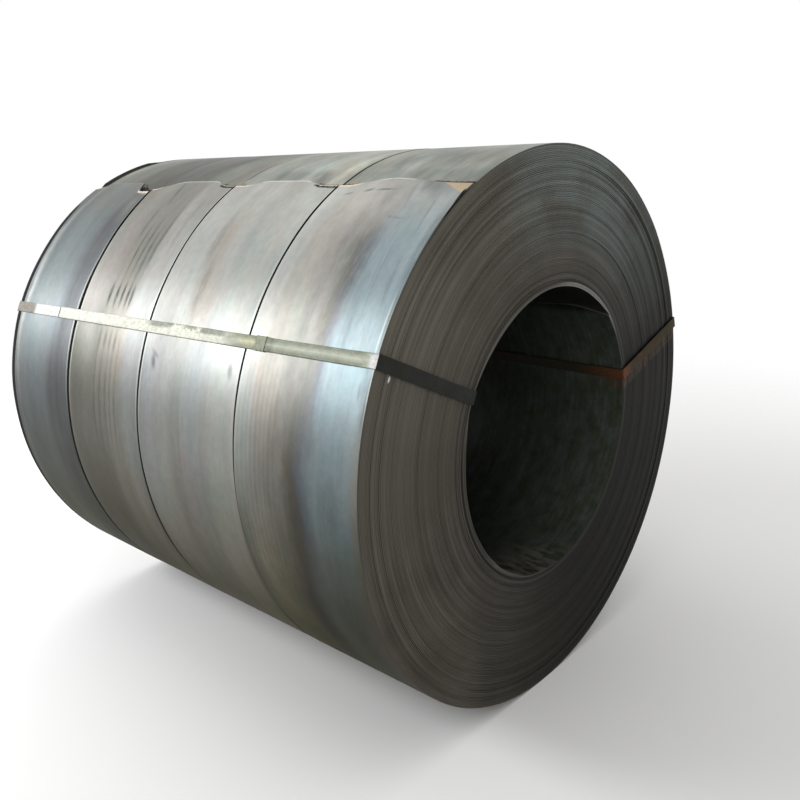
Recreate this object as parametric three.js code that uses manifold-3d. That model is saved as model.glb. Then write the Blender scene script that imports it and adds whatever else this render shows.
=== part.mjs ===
// Hot-rolled steel coil, slit into four strips that were wound side by side on one
// mandrel, and tied with two steel straps that pass through the eye.
//
// Millimetres, +Z up. The coil lies on its round side with its axis along Y: the near end
// faces -Y, the far end +Y. Angles are in degrees, counter-clockwise from +X as seen from
// the near end. The origin is the middle of the bounding box's underside.

import * as THREE from 'three';
import { mergeVertices } from 'three/addons/utils/BufferGeometryUtils.js';
import Module from 'manifold-3d';

// ---- driving dimensions ------------------------------------------------------------

const EYE_DIAMETER = 762;        // mandrel size, the 30 inch eye of a hot strip mill
const SHEET_THICKNESS = 4;
const WHOLE_TURNS = 84;          // full turns; the tail adds the part of a turn left over
const LEAD_ANGLE = 47.5;         // where the inner end of the sheet lies in the eye
const TAIL_ANGLE = 117.5;        // where the outer end of the sheet lies
const FACETS = 72;               // flat sides of the round surfaces

const NARROW_STRIP = 355;
const WIDE_STRIP = 395;
const WIDE_GAP = 10;             // where the two far strips stand apart
const SLIT_GAP = 4;              // between the other strips
const TAIL_LIFT = 5;             // how far the cut end of the outer turn springs off
const LOOSEST_TAIL_LIFT = 9;
const LOOSE_TAIL_FACETS = 4;     // length of the sprung tail, in facets of the outline

// Strips from the far end to the near end, and the gaps between them.
const STRIPS = [
  { name: 'strip_coil_1', width: NARROW_STRIP, tailLift: TAIL_LIFT },
  { name: 'strip_coil_2', width: NARROW_STRIP, tailLift: TAIL_LIFT },
  { name: 'strip_coil_3', width: WIDE_STRIP, tailLift: TAIL_LIFT },
  { name: 'strip_coil_4', width: WIDE_STRIP, tailLift: LOOSEST_TAIL_LIFT },
];
const GAPS = [WIDE_GAP, SLIT_GAP, SLIT_GAP];

// Groups of turns from the eye outwards: how many turns, and how far the group slid
// towards the far end while it was wound, as a share of the longest slide. The
// outermost group takes the turns left.
const LONGEST_SLIDE = 8;
const TURN_GROUPS = [
  { turns: 3, slid: 0 },
  { turns: 13, slid: 0.75 },
  { turns: 6, slid: 0.5 },
  { turns: 10, slid: 0.9 },
  { turns: 7, slid: 0.6 },
  { turns: 7, slid: 1 },
  { turns: 8, slid: 0.7 },
  { turns: 6, slid: 0.4 },
  { turns: 5, slid: 0.65 },
  { turns: 4, slid: 0.3 },
  { turns: 5, slid: 0.75 },
  { turns: 2, slid: 0.1 },
  { turns: 5, slid: 0.5 },
  { turns: 4, slid: 0.25 },
];

const STRAP_WIDTH = 32;
const STRAP_THICKNESS = 1;
const STRAP_BEND_STEPS = 3;      // flats in the bend where a strap folds over a coil edge
const JOGGLE_LENGTH = 12;        // run over which a strap layer climbs to another level
const UNDER_END_STICKS_OUT = 8;  // under layer's cut end past the seal
const CLIMB_BEFORE_END = 4;      // the over layer is up this far before that end
const SEAL_LENGTH = 32;
const SEAL_WALL = 1;
const CLEARANCE = 0.3;           // between pieces that touch on the real coil

// Each strap lies in a plane along the coil's axis. angle: the way its end runs point;
// offset: how far that plane passes beside the axis; skew: sideways run from the near
// end to the far end; sealAt and lapEndAt: distances from the near end.
const LEFT_SKEW = 25;
const LEFT_SEAL_AT = 348;
const LEFT_LAP_END_AT = 1259;
const RIGHT_OFFSET = -30;
const RIGHT_SKEW = 12;
const RIGHT_SEAL_AT = 520;
const RIGHT_LAP_END_AT = 980;
const STRAPS = [
  {
    name: 'eye_strap_left', seal: 'strap_seal_left', angle: 156, offset: 0,
    skew: LEFT_SKEW, sealAt: LEFT_SEAL_AT, lapEndAt: LEFT_LAP_END_AT,
  },
  {
    name: 'eye_strap_right', seal: 'strap_seal_right', angle: 18.5, offset: RIGHT_OFFSET,
    skew: RIGHT_SKEW, sealAt: RIGHT_SEAL_AT, lapEndAt: RIGHT_LAP_END_AT,
  },
];

// ---- values that follow --------------------------------------------------------------

const FACET_ANGLE = 360 / FACETS;
const EYE_RADIUS = EYE_DIAMETER / 2;
const fraction = (value) => value - Math.floor(value);
const turnsAtTail = WHOLE_TURNS + fraction((LEAD_ANGLE - TAIL_ANGLE) / 360);
const coilLength = STRIPS.reduce((sum, strip) => sum + strip.width, 0)
  + GAPS.reduce((sum, gap) => sum + gap, 0);
const NEAR_END = -coilLength / 2;
const FAR_END = coilLength / 2;
const mostLift = Math.max(...STRIPS.map((strip) => strip.tailLift));

// The sheet is one spiral: its radius falls by one thickness in each counter-clockwise
// turn. These give the radius of the outer face and of the eye at any angle; the
// outer one counts its turn from the tail, so that it can be asked for the full turn.
const outerRadius = (turnFromTail) => EYE_RADIUS
  + SHEET_THICKNESS * (1 + turnsAtTail - turnFromTail);
const outerRadiusAt = (angle) => outerRadius(fraction((angle - TAIL_ANGLE) / 360));
const eyeRadius = (turnFromLead) => EYE_RADIUS + SHEET_THICKNESS * (1 - turnFromLead);
const eyeRadiusAt = (angle) => eyeRadius(fraction((angle - LEAD_ANGLE) / 360));

function polar(radius, angle) {
  const turn = THREE.MathUtils.degToRad(angle);
  return new THREE.Vector2(radius * Math.cos(turn), radius * Math.sin(turn));
}

// ---- solids ---------------------------------------------------------------------------

const wasm = await Module();
wasm.setup();

function toSolid(geometry) {
  const bare = geometry.index ? geometry.toNonIndexed() : geometry;
  bare.deleteAttribute('normal');
  bare.deleteAttribute('uv');
  const merged = mergeVertices(bare, 1e-3);
  return new wasm.Manifold(new wasm.Mesh({
    numProp: 3,
    vertProperties: new Float32Array(merged.attributes.position.array),
    triVerts: new Uint32Array(merged.index.array),
  }));
}

function toGeometry(solid) {
  const mesh = solid.getMesh();
  const geometry = new THREE.BufferGeometry();
  geometry.setAttribute('position', new THREE.BufferAttribute(mesh.vertProperties, 3));
  geometry.setIndex(new THREE.BufferAttribute(mesh.triVerts, 1));
  geometry.computeVertexNormals();
  return geometry;
}

// Extrudes a shape drawn in the plane seen from the near end (x right, y up) over the
// stretch of the axis from nearY to farY.
function extrudeAlongAxis(shape, nearY, farY) {
  const geometry = new THREE.ExtrudeGeometry(shape, {
    depth: farY - nearY, bevelEnabled: false, curveSegments: 1,
  });
  geometry.rotateX(Math.PI / 2);
  geometry.translate(0, farY, 0);
  return geometry;
}

// ---- wound strip coils ------------------------------------------------------------------

// The end view of one strip coil: the outer face of the sheet runs from the cut tail
// counter-clockwise for a full turn, dives under the sprung tail to where it lifts off,
// and comes back along the tail's underside. The hole is the eye with the lead's step.
function woundOutline(tailLift) {
  const lift = (facet) => tailLift * Math.max(0, 1 - facet / LOOSE_TAIL_FACETS) ** 2;
  const angleOf = (start, facet) => start + facet * FACET_ANGLE;
  const points = [];
  for (let facet = 0; facet <= FACETS; facet += 1) {
    points.push(polar(outerRadius(facet / FACETS) + lift(facet), angleOf(TAIL_ANGLE, facet)));
  }
  for (let facet = 1; facet <= LOOSE_TAIL_FACETS; facet += 1) {
    points.push(polar(outerRadius(1 + facet / FACETS), angleOf(TAIL_ANGLE, facet)));
  }
  for (let facet = LOOSE_TAIL_FACETS - 1; facet >= 0; facet -= 1) {
    points.push(polar(outerRadius(1 + facet / FACETS) + lift(facet), angleOf(TAIL_ANGLE, facet)));
  }
  const outline = new THREE.Shape(points);
  const eye = [];
  for (let facet = FACETS; facet >= 0; facet -= 1) {
    eye.push(polar(eyeRadius(facet / FACETS), angleOf(LEAD_ANGLE, facet)));
  }
  outline.holes.push(new THREE.Path(eye));
  return outline;
}

// A turned ring wider than the sheet spiral at the eye and outside, with its ends
// stepped where one group of turns slid further than the next.
function steppedRing(nearY, farY, nearStepped, farStepped) {
  const innermost = EYE_RADIUS - SHEET_THICKNESS;
  const outermost = outerRadius(0) + mostLift + SHEET_THICKNESS;
  const nearEdge = [];
  const farEdge = [];
  let turns = 0;
  let inner = innermost;
  TURN_GROUPS.forEach((group, index) => {
    turns += group.turns;
    const isLast = index === TURN_GROUPS.length - 1;
    const outer = isLast ? outermost : EYE_RADIUS + SHEET_THICKNESS * (turns + 0.5);
    const slide = group.slid * LONGEST_SLIDE;
    const near = nearY + (nearStepped ? slide : 0);
    const far = farY - (farStepped ? LONGEST_SLIDE - slide : 0);
    nearEdge.push(new THREE.Vector2(inner, near), new THREE.Vector2(outer, near));
    farEdge.push(new THREE.Vector2(inner, far), new THREE.Vector2(outer, far));
    inner = outer;
  });
  const corners = [...nearEdge, ...farEdge.reverse()];
  const profile = corners.filter((p, i) => i === 0 || p.distanceTo(corners[i - 1]) > 1e-6);
  const straight = profile.filter((p, i) => {
    const before = profile[(i + profile.length - 1) % profile.length];
    const after = profile[(i + 1) % profile.length];
    return !(before.y === p.y && p.y === after.y);
  });
  straight.push(straight[0].clone());
  const firstFacet = THREE.MathUtils.degToRad(90 - TAIL_ANGLE);
  return new THREE.LatheGeometry(straight, FACETS, firstFacet, 2 * Math.PI);
}

function stripCoil(strip, nearY, farY, nearStepped, farStepped) {
  const outline = woundOutline(strip.tailLift);
  if (!nearStepped && !farStepped) return extrudeAlongAxis(outline, nearY, farY);
  const spiral = toSolid(extrudeAlongAxis(outline, nearY - LONGEST_SLIDE, farY + LONGEST_SLIDE));
  const ring = toSolid(steppedRing(nearY, farY, nearStepped, farStepped));
  return toGeometry(spiral.intersect(ring));
}

// ---- straps and seals -------------------------------------------------------------------

// Where a strap's runs lie, measured from the axis along the strap's own angle. Its far
// side reaches least over the coil's crown and most into the eye's curve.
function strapSeats(strap) {
  const halfReach = STRAP_WIDTH / 2 + SEAL_WALL + CLEARANCE + Math.abs(strap.skew) / 2;
  const closest = Math.max(0, Math.abs(strap.offset) - halfReach);
  const furthest = Math.abs(strap.offset) + halfReach;
  const around = THREE.MathUtils.radToDeg(furthest / outerRadiusAt(strap.angle));
  const coilRadius = Math.max(outerRadiusAt(strap.angle - around), outerRadiusAt(strap.angle + around));
  const eyeAround = THREE.MathUtils.radToDeg(furthest / EYE_RADIUS);
  const eyeFlat = Math.min(eyeRadiusAt(strap.angle - eyeAround), eyeRadiusAt(strap.angle + eyeAround))
    * Math.cos(Math.PI / FACETS);
  return {
    outer: Math.sqrt(coilRadius ** 2 - closest ** 2) + CLEARANCE,
    eye: Math.sqrt((eyeFlat - CLEARANCE) ** 2 - furthest ** 2),
    near: NEAR_END - CLEARANCE,
    far: FAR_END + CLEARANCE,
  };
}

// One station of a strap: a point of its inner face, and the way out from the coil.
const station = (x, y, outX, outY) => ({ at: new THREE.Vector2(x, y), out: new THREE.Vector2(outX, outY) });

// The fold over one edge of the coil: the inner face turns round the coil's own sharp
// edge at the clearance, from one outward direction to the next. seatX and seatY are the
// seats of the two runs that meet there, towardX and towardY the side they lie on.
function fold(seatX, seatY, towardX, towardY, fromAngle) {
  const edge = new THREE.Vector2(seatX - towardX * CLEARANCE, seatY - towardY * CLEARANCE);
  const stations = [];
  for (let step = 0; step <= STRAP_BEND_STEPS; step += 1) {
    const out = polar(1, fromAngle + 90 * step / STRAP_BEND_STEPS);
    const at = edge.clone().addScaledVector(out, CLEARANCE);
    stations.push(station(at.x, at.y, out.x, out.y));
  }
  return stations;
}

// The levels of the two lapped layers over the coil's round face.
function lapLevels(seats) {
  const layer = STRAP_THICKNESS + CLEARANCE;
  const underInSeal = seats.outer + SEAL_WALL + CLEARANCE;
  return {
    under: seats.outer,
    over: seats.outer + layer,
    underInSeal,
    overInSeal: underInSeal + layer,
    sealTop: underInSeal + layer + STRAP_THICKNESS + CLEARANCE,
  };
}

// A strap is one ribbon: from the under layer's cut end at the seal, over the far end,
// back through the eye, up the near end, and through the seal to the over layer's end.
function strapOutline(strap, seats) {
  const level = lapLevels(seats);
  const sealY = NEAR_END + strap.sealAt;
  const sealNear = sealY - SEAL_LENGTH / 2;
  const sealFar = sealY + SEAL_LENGTH / 2;
  const underEnd = sealNear - UNDER_END_STICKS_OUT;
  const climbTop = underEnd - CLIMB_BEFORE_END;
  const stations = [
    station(level.underInSeal, underEnd, 1, 0),
    station(level.underInSeal, sealFar, 1, 0),
    station(level.under, sealFar + JOGGLE_LENGTH, 1, 0),
    ...fold(seats.outer, seats.far, 1, 1, 0),
    ...fold(seats.eye, seats.far, -1, 1, 90),
    ...fold(seats.eye, seats.near, -1, -1, 180),
    ...fold(seats.outer, seats.near, 1, -1, 270),
    station(level.under, climbTop - JOGGLE_LENGTH, 1, 0),
    station(level.overInSeal, climbTop, 1, 0),
    station(level.overInSeal, sealFar, 1, 0),
    station(level.over, sealFar + JOGGLE_LENGTH, 1, 0),
    station(level.over, NEAR_END + strap.lapEndAt, 1, 0),
  ];
  const innerFace = stations.map(({ at }) => at.clone());
  const outerFace = stations.map(({ at, out }) => at.clone().addScaledVector(out, STRAP_THICKNESS));
  return new THREE.Shape([...innerFace, ...outerFace.reverse()]);
}

// Takes a shape drawn with x out from the axis and y along it, extruded by a width, to
// its place: centred on the strap's plane, turned to its angle and sheared by its skew.
function placeOnStrap(geometry, strap, width) {
  geometry.translate(0, 0, -width / 2);
  const shear = new THREE.Matrix4().makeShear(0, 0, 0, strap.skew / coilLength, 0, 0);
  const across = new THREE.Matrix4().makeTranslation(0, 0, strap.offset);
  const turn = new THREE.Matrix4().makeRotationY(-THREE.MathUtils.degToRad(strap.angle));
  geometry.applyMatrix4(turn.multiply(across).multiply(shear));
  return geometry;
}

function eyeStrap(strap) {
  const shape = strapOutline(strap, strapSeats(strap));
  const geometry = new THREE.ExtrudeGeometry(shape, { depth: STRAP_WIDTH, bevelEnabled: false });
  return placeOnStrap(geometry, strap, STRAP_WIDTH);
}

// The seal is a folded sleeve round both layers of the lap.
function strapSeal(strap) {
  const seats = strapSeats(strap);
  const level = lapLevels(seats);
  const halfInside = STRAP_WIDTH / 2 + CLEARANCE;
  const halfOutside = halfInside + SEAL_WALL;
  const insideFloor = level.underInSeal - CLEARANCE;
  const section = new THREE.Shape([
    new THREE.Vector2(seats.outer, -halfOutside),
    new THREE.Vector2(level.sealTop + SEAL_WALL, -halfOutside),
    new THREE.Vector2(level.sealTop + SEAL_WALL, halfOutside),
    new THREE.Vector2(seats.outer, halfOutside),
  ]);
  section.holes.push(new THREE.Path([
    new THREE.Vector2(insideFloor, -halfInside),
    new THREE.Vector2(insideFloor, halfInside),
    new THREE.Vector2(level.sealTop, halfInside),
    new THREE.Vector2(level.sealTop, -halfInside),
  ]));
  const geometry = new THREE.ExtrudeGeometry(section, { depth: SEAL_LENGTH, bevelEnabled: false });
  geometry.rotateX(Math.PI / 2);
  geometry.translate(0, NEAR_END + strap.sealAt + SEAL_LENGTH / 2, 0);
  return placeOnStrap(geometry, strap, 0);
}

// ---- the part --------------------------------------------------------------------------

const millScale = new THREE.MeshStandardMaterial({ color: 0x6b6c70, roughness: 0.42, metalness: 0.9 });
const strapPaint = new THREE.MeshStandardMaterial({ color: 0xa8a184, roughness: 0.55, metalness: 0.4 });
const sealSteel = new THREE.MeshStandardMaterial({ color: 0x3b3a2c, roughness: 0.5, metalness: 0.7 });

function addMesh(parent, name, geometry, material) {
  const mesh = new THREE.Mesh(geometry, material);
  mesh.name = name;
  parent.add(mesh);
}

const coil = new THREE.Group();

let farY = FAR_END;
STRIPS.forEach((strip, index) => {
  const nearY = farY - strip.width;
  const isFarthest = index === 0;
  const isNearest = index === STRIPS.length - 1;
  addMesh(coil, strip.name, stripCoil(strip, nearY, farY, isNearest, isFarthest), millScale);
  farY = nearY - (GAPS[index] ?? 0);
});

STRAPS.forEach((strap) => {
  addMesh(coil, strap.name, eyeStrap(strap), strapPaint);
  addMesh(coil, strap.seal, strapSeal(strap), sealSteel);
});

const bounds = new THREE.Box3().setFromObject(coil, true);
const middle = bounds.getCenter(new THREE.Vector3());
coil.position.set(-middle.x, -middle.y, -bounds.min.z);

export default coil;
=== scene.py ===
# A steel coil slit into four strips that lie side by side, with two steel straps through
# the eye and their seals. Metres, +Z up, the coil's axis along Y, near end at -Y. Angles
# are degrees counter-clockwise from +X as seen from the near end. A table with a row for
# each strip runs from the far strip to the near one.

import math
from functools import cached_property

import bmesh
import bpy
import numpy as np
from mathutils import Matrix, Quaternion, Vector


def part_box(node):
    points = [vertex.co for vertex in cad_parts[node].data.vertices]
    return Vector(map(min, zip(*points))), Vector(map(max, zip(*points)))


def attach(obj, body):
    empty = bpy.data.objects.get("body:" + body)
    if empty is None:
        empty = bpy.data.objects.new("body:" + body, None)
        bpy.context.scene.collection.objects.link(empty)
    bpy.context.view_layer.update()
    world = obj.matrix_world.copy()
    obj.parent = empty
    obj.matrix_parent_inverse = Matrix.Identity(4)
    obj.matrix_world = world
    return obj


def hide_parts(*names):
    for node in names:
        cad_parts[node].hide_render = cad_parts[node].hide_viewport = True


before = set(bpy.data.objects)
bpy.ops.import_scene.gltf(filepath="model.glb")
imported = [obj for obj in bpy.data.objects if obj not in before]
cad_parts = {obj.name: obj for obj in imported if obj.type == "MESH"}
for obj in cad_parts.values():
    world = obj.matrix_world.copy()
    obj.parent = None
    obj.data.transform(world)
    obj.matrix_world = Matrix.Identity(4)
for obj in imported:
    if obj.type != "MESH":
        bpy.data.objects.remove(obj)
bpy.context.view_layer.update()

MM = 0.001
SEED = 1505
SLIDE_SEED = 77                  # the same for both outer ends of the coil

# ---- the coil's sizes ------------------------------------------------------------------

EYE_RADIUS = 381 * MM
SHEET = 4 * MM
WHOLE_TURNS = 84
LEAD_ANGLE = 47.5
TAIL_ANGLE = 117.5
SHARE_AT_TAIL = ((LEAD_ANGLE - TAIL_ANGLE) % 360) / 360
TAIL_WOUND = 360 * (WHOLE_TURNS + SHARE_AT_TAIL)   # degrees of sheet from lead to tail
OUTER_RADIUS = EYE_RADIUS + SHEET * (TAIL_WOUND / 360 + 0.5)

STRIPS = ["strip_coil_1", "strip_coil_2", "strip_coil_3", "strip_coil_4"]
# The way a strap's end runs point, how far it passes beside the axis, and how far it
# runs sideways from end to end.
STRAPS = {"left": (156.0, 0.0, 25 * MM), "right": (18.5, -30 * MM, 12 * MM)}

# A spiral is half a sheet wider on one side, so its axis is a quarter sheet off the
# middle of its box.
plain_lo, plain_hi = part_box(STRIPS[2])
AXIS_X = (plain_lo.x + plain_hi.x) / 2 + SHEET / 4
AXIS_Z = (plain_lo.z + plain_hi.z) / 2 + SHEET / 4
NEAR_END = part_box(STRIPS[3])[0].y
FAR_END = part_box(STRIPS[0])[1].y
LENGTH = FAR_END - NEAR_END

# Groups of turns from the eye outwards, and how far each slid towards the far end.
LONGEST_SLIDE = 8 * MM
TURN_GROUPS = [
    (3, 0.0), (13, 0.75), (6, 0.5), (10, 0.9), (7, 0.6), (7, 1.0), (8, 0.7),
    (6, 0.4), (5, 0.65), (4, 0.3), (5, 0.75), (2, 0.1), (5, 0.5), (4, 0.25),
]

# ---- how finely the sheet is meshed ----------------------------------------------------

COLUMN_STEP = 2.0                # degrees between columns along the sheet
FINE_STEP = 0.5                  # the same where the tail springs off
LOOSE_RUN = 24.0                 # degrees of sprung tail
EDGE_ROUND = 0.4 * MM            # rounding of the sheet's slit edges
GROOVE_DEPTH = 0.8 * MM          # how far the seam between two turns is open
SEAM_CLOSES = 6                  # columns over which it closes towards eye and tail

tail_column = 360 * SHARE_AT_TAIL
COLUMNS = np.concatenate([
    np.arange(0, tail_column - LOOSE_RUN, COLUMN_STEP),
    np.arange(tail_column - LOOSE_RUN, tail_column, FINE_STEP),
    np.arange(tail_column, 360, COLUMN_STEP),
])
PER_TURN = len(COLUMNS)
TAIL_INDEX = WHOLE_TURNS * PER_TURN + int(np.searchsorted(COLUMNS, tail_column - 1e-6))
LIFT_INDEX = TAIL_INDEX - round(LOOSE_RUN / FINE_STEP)   # the tail lies down again here
RIM_INDEX = LIFT_INDEX - PER_TURN                        # and the outermost turn starts here


def wound_at(index):
    """Degrees of sheet from the lead to a column, the columns counted over all turns."""
    index = np.asarray(index)
    return 360.0 * (index // PER_TURN) + COLUMNS[index % PER_TURN]


def smooth(low, high, value):
    share = np.clip((np.asarray(value, float) - low) / (high - low), 0, 1)
    return share * share * (3 - 2 * share)


def wander(count, spacing, rng):
    """A smooth random line of count values between about -1 and 1."""
    knots = rng.uniform(-1, 1, int(count / spacing) + 3)
    at = np.arange(count) / spacing
    below = at.astype(int)
    share = smooth(0, 1, at - below)
    return knots[below] * (1 - share) + knots[below + 1] * share


# ---- the wound strips ------------------------------------------------------------------

TURN_JITTER = (0.2 * MM, 0.45)   # how unevenly single turns lie in their group, and over
SLOW_JITTER = (0.5 * MM, 2.3)    # how many turns that changes
LEAST_SLIDE = 0.15 * MM
ODD_TURNS = 4                    # turns that slid clearly further than their group
ODD_SLIDE = (0.4 * MM, 0.8 * MM)
ODD_LENGTH = (0.3, 0.9)          # of a turn
GROUP_BLEND = 1.6                # turns over which one group passes into the next
LEVEL_SLIDE = 0.6 * LONGEST_SLIDE
# How much of the uneven winding shows, by the angle round the face.
UNEVEN = [
    (0, 0.25), (30, 0.5), (60, 1.0), (105, 1.0), (135, 0.5), (190, 0.5), (215, 0.8),
    (245, 0.8), (275, 0.35), (360, 0.25),
]


def averaged(values, reach):
    """Values averaged over a window that fades out at the given number of places."""
    window = np.hanning(2 * reach + 1)
    padded = np.pad(values, reach, mode="edge")
    return np.convolve(padded, window / window.sum(), mode="valid")


def edge_slides(rng):
    """How far the sheet's edge lies behind the end plane, for every column."""
    count = TAIL_INDEX + 1
    wound = wound_at(np.arange(count))
    turn = wound / 360
    turns, shares = np.transpose(TURN_GROUPS)
    group = np.searchsorted(np.cumsum(turns), turn, side="right")
    slide = averaged(shares[group], round(GROUP_BLEND * PER_TURN)) * LONGEST_SLIDE
    for height, spacing in (TURN_JITTER, SLOW_JITTER):
        slide += height * wander(count, spacing * PER_TURN, rng)
    for _ in range(ODD_TURNS):
        middle = rng.uniform(4, WHOLE_TURNS - 3)
        length = rng.uniform(*ODD_LENGTH)
        bump = 1 - smooth(0.5 * length, length, np.abs(turn - middle))
        slide += rng.uniform(*ODD_SLIDE) * bump
    uneven = np.interp((LEAD_ANGLE - wound) % 360, *np.transpose(UNEVEN))
    slide = LEVEL_SLIDE + (slide - LEVEL_SLIDE) * uneven
    return np.clip(slide, LEAST_SLIDE, LONGEST_SLIDE - LEAST_SLIDE)


RIPPLES = 14
RIPPLE_HEIGHT = 0.55 * MM
SWELL = 0.4                      # share of the bore's ripple all round, and what is added
SWELL_BELOW = 1.6                # at the bottom of the eye, over the given degrees
SWELL_WIDTH = 30
RIPPLE_LOBES = (2, 26)           # fewest and most waves round the coil
RIPPLE_SLANT = 9                 # most radians by which a wave shifts over a metre of width


class Ripple:
    """Shallow waves of the sheet over the round face or the bore."""

    def __init__(self, rng, height):
        self.waves = [
            (rng.integers(*RIPPLE_LOBES), rng.uniform(-RIPPLE_SLANT, RIPPLE_SLANT),
             rng.uniform(0, 2 * math.pi))
            for _ in range(RIPPLES)
        ]
        self.height = height

    def __call__(self, wound, y):
        return sum(
            self.height / (2 + lobes / 4) * np.sin(np.radians(lobes * wound) + slant * y + phase)
            for lobes, slant, phase in self.waves)


# The tail of each strip: its cut end runs further over the crown in the middle than at
# its corners, and springs off. For the near corner, the middle and the far corner: the
# degrees by which the cut stays behind the tail angle, and the lift there.
TAILS = [
    ((5.0, 12 * MM), (0.6, 6 * MM), (2.8, 4 * MM)),
    ((2.0, 3 * MM), (0.1, 4 * MM), (4.3, 12 * MM)),
    ((2.0, 2.5 * MM), (0.2, 4 * MM), (1.9, 3 * MM)),
    ((1.3, 2.5 * MM), (-0.1, 6 * MM), (1.9, 2.5 * MM)),
]
# Shares of the width, from the near and from the far edge, between which a corner drops.
CORNER_DROPS = [
    ((0.14, 0.30), (0.0, 0.32)),
    ((0.10, 0.30), (0.0, 0.32)),
    ((0.10, 0.36), (0.09, 0.34)),
    ((0.12, 0.58), (0.06, 0.42)),
]
LIFT_POWER = 1.1                 # how the lift grows along the sprung run,
CUT_POWER = 3                    # and how the sheet there follows its cut end
DOG_EAR = (76 * MM, 50 * MM)     # the bent near corner of the last strip: across, along
DOG_EAR_DROP = 2 * MM
FLARE = 7 * MM                   # the far rim of the turn under the tails stands proud
FLARE_WIDTH = 14 * MM
FLARE_SPAN = (99, 104, 117, 120) # degrees where the flare starts, is full and ends

SLIT_WEAR = (1.0 * MM, 1.4 * MM, 1.4 * MM)    # worn off both edges of each gap, far to near
WORN_WITHIN = (360, 1080)        # degrees of sheet from the eye over which the wear sets in

# Edges lean over a gap and close it: over the crown at the far gaps, below at the near one.
CLOSED_FROM_TAIL = ((300, 362), (300, 362), (74, 300))    # degrees of sheet back from the tail
CLOSED_FADE = 40.0
CLOSED_AT_EYE = (720, 400)       # degrees of sheet from the lead over which it closes there
CLOSED_OPENING = 0.05 * MM

# The lead of the near strip is cut on the slant: depth, and angle from the lead angle.
LEAD_SLANT = [(0.0, -2.5), (0.063, 1.3), (0.1, 3.4), (0.17, 2.5), (0.395, 0.0)]
SLANT_FADE = 8.0                 # degrees over which the mesh takes up the slant

# The innermost turns have sprung into the mouth of the eye between the straps: angle, and
# how far the first turn stands in.
SPRUNG = [
    (47.5, 0), (53, 5 * MM), (60, 7 * MM), (75, 6 * MM), (90, 5 * MM), (120, 7 * MM),
    (136, 7 * MM), (151, 0), (160, 0), (168, 7 * MM), (178, 11 * MM), (225, 11 * MM),
    (242, 8 * MM), (256, 5 * MM), (275, 0),
]
SECOND_SPRUNG = 0.8              # the same of the second turn, as a share
SPRUNG_DEPTH = (0.35, 0.03)      # how deep in the eye it ends, and how deep it is whole

EDGE_COLUMNS = np.array([EDGE_ROUND, 2 * MM, 5 * MM, 10 * MM, 20 * MM])   # in from an edge
MIDDLE_COLUMNS = 15              # between them, this far from both edges
MIDDLE_FROM = 38 * MM
THINNED = (0.35 * MM, 5 * MM)    # how much thinner the sheet's edge is, and over what width


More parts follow.
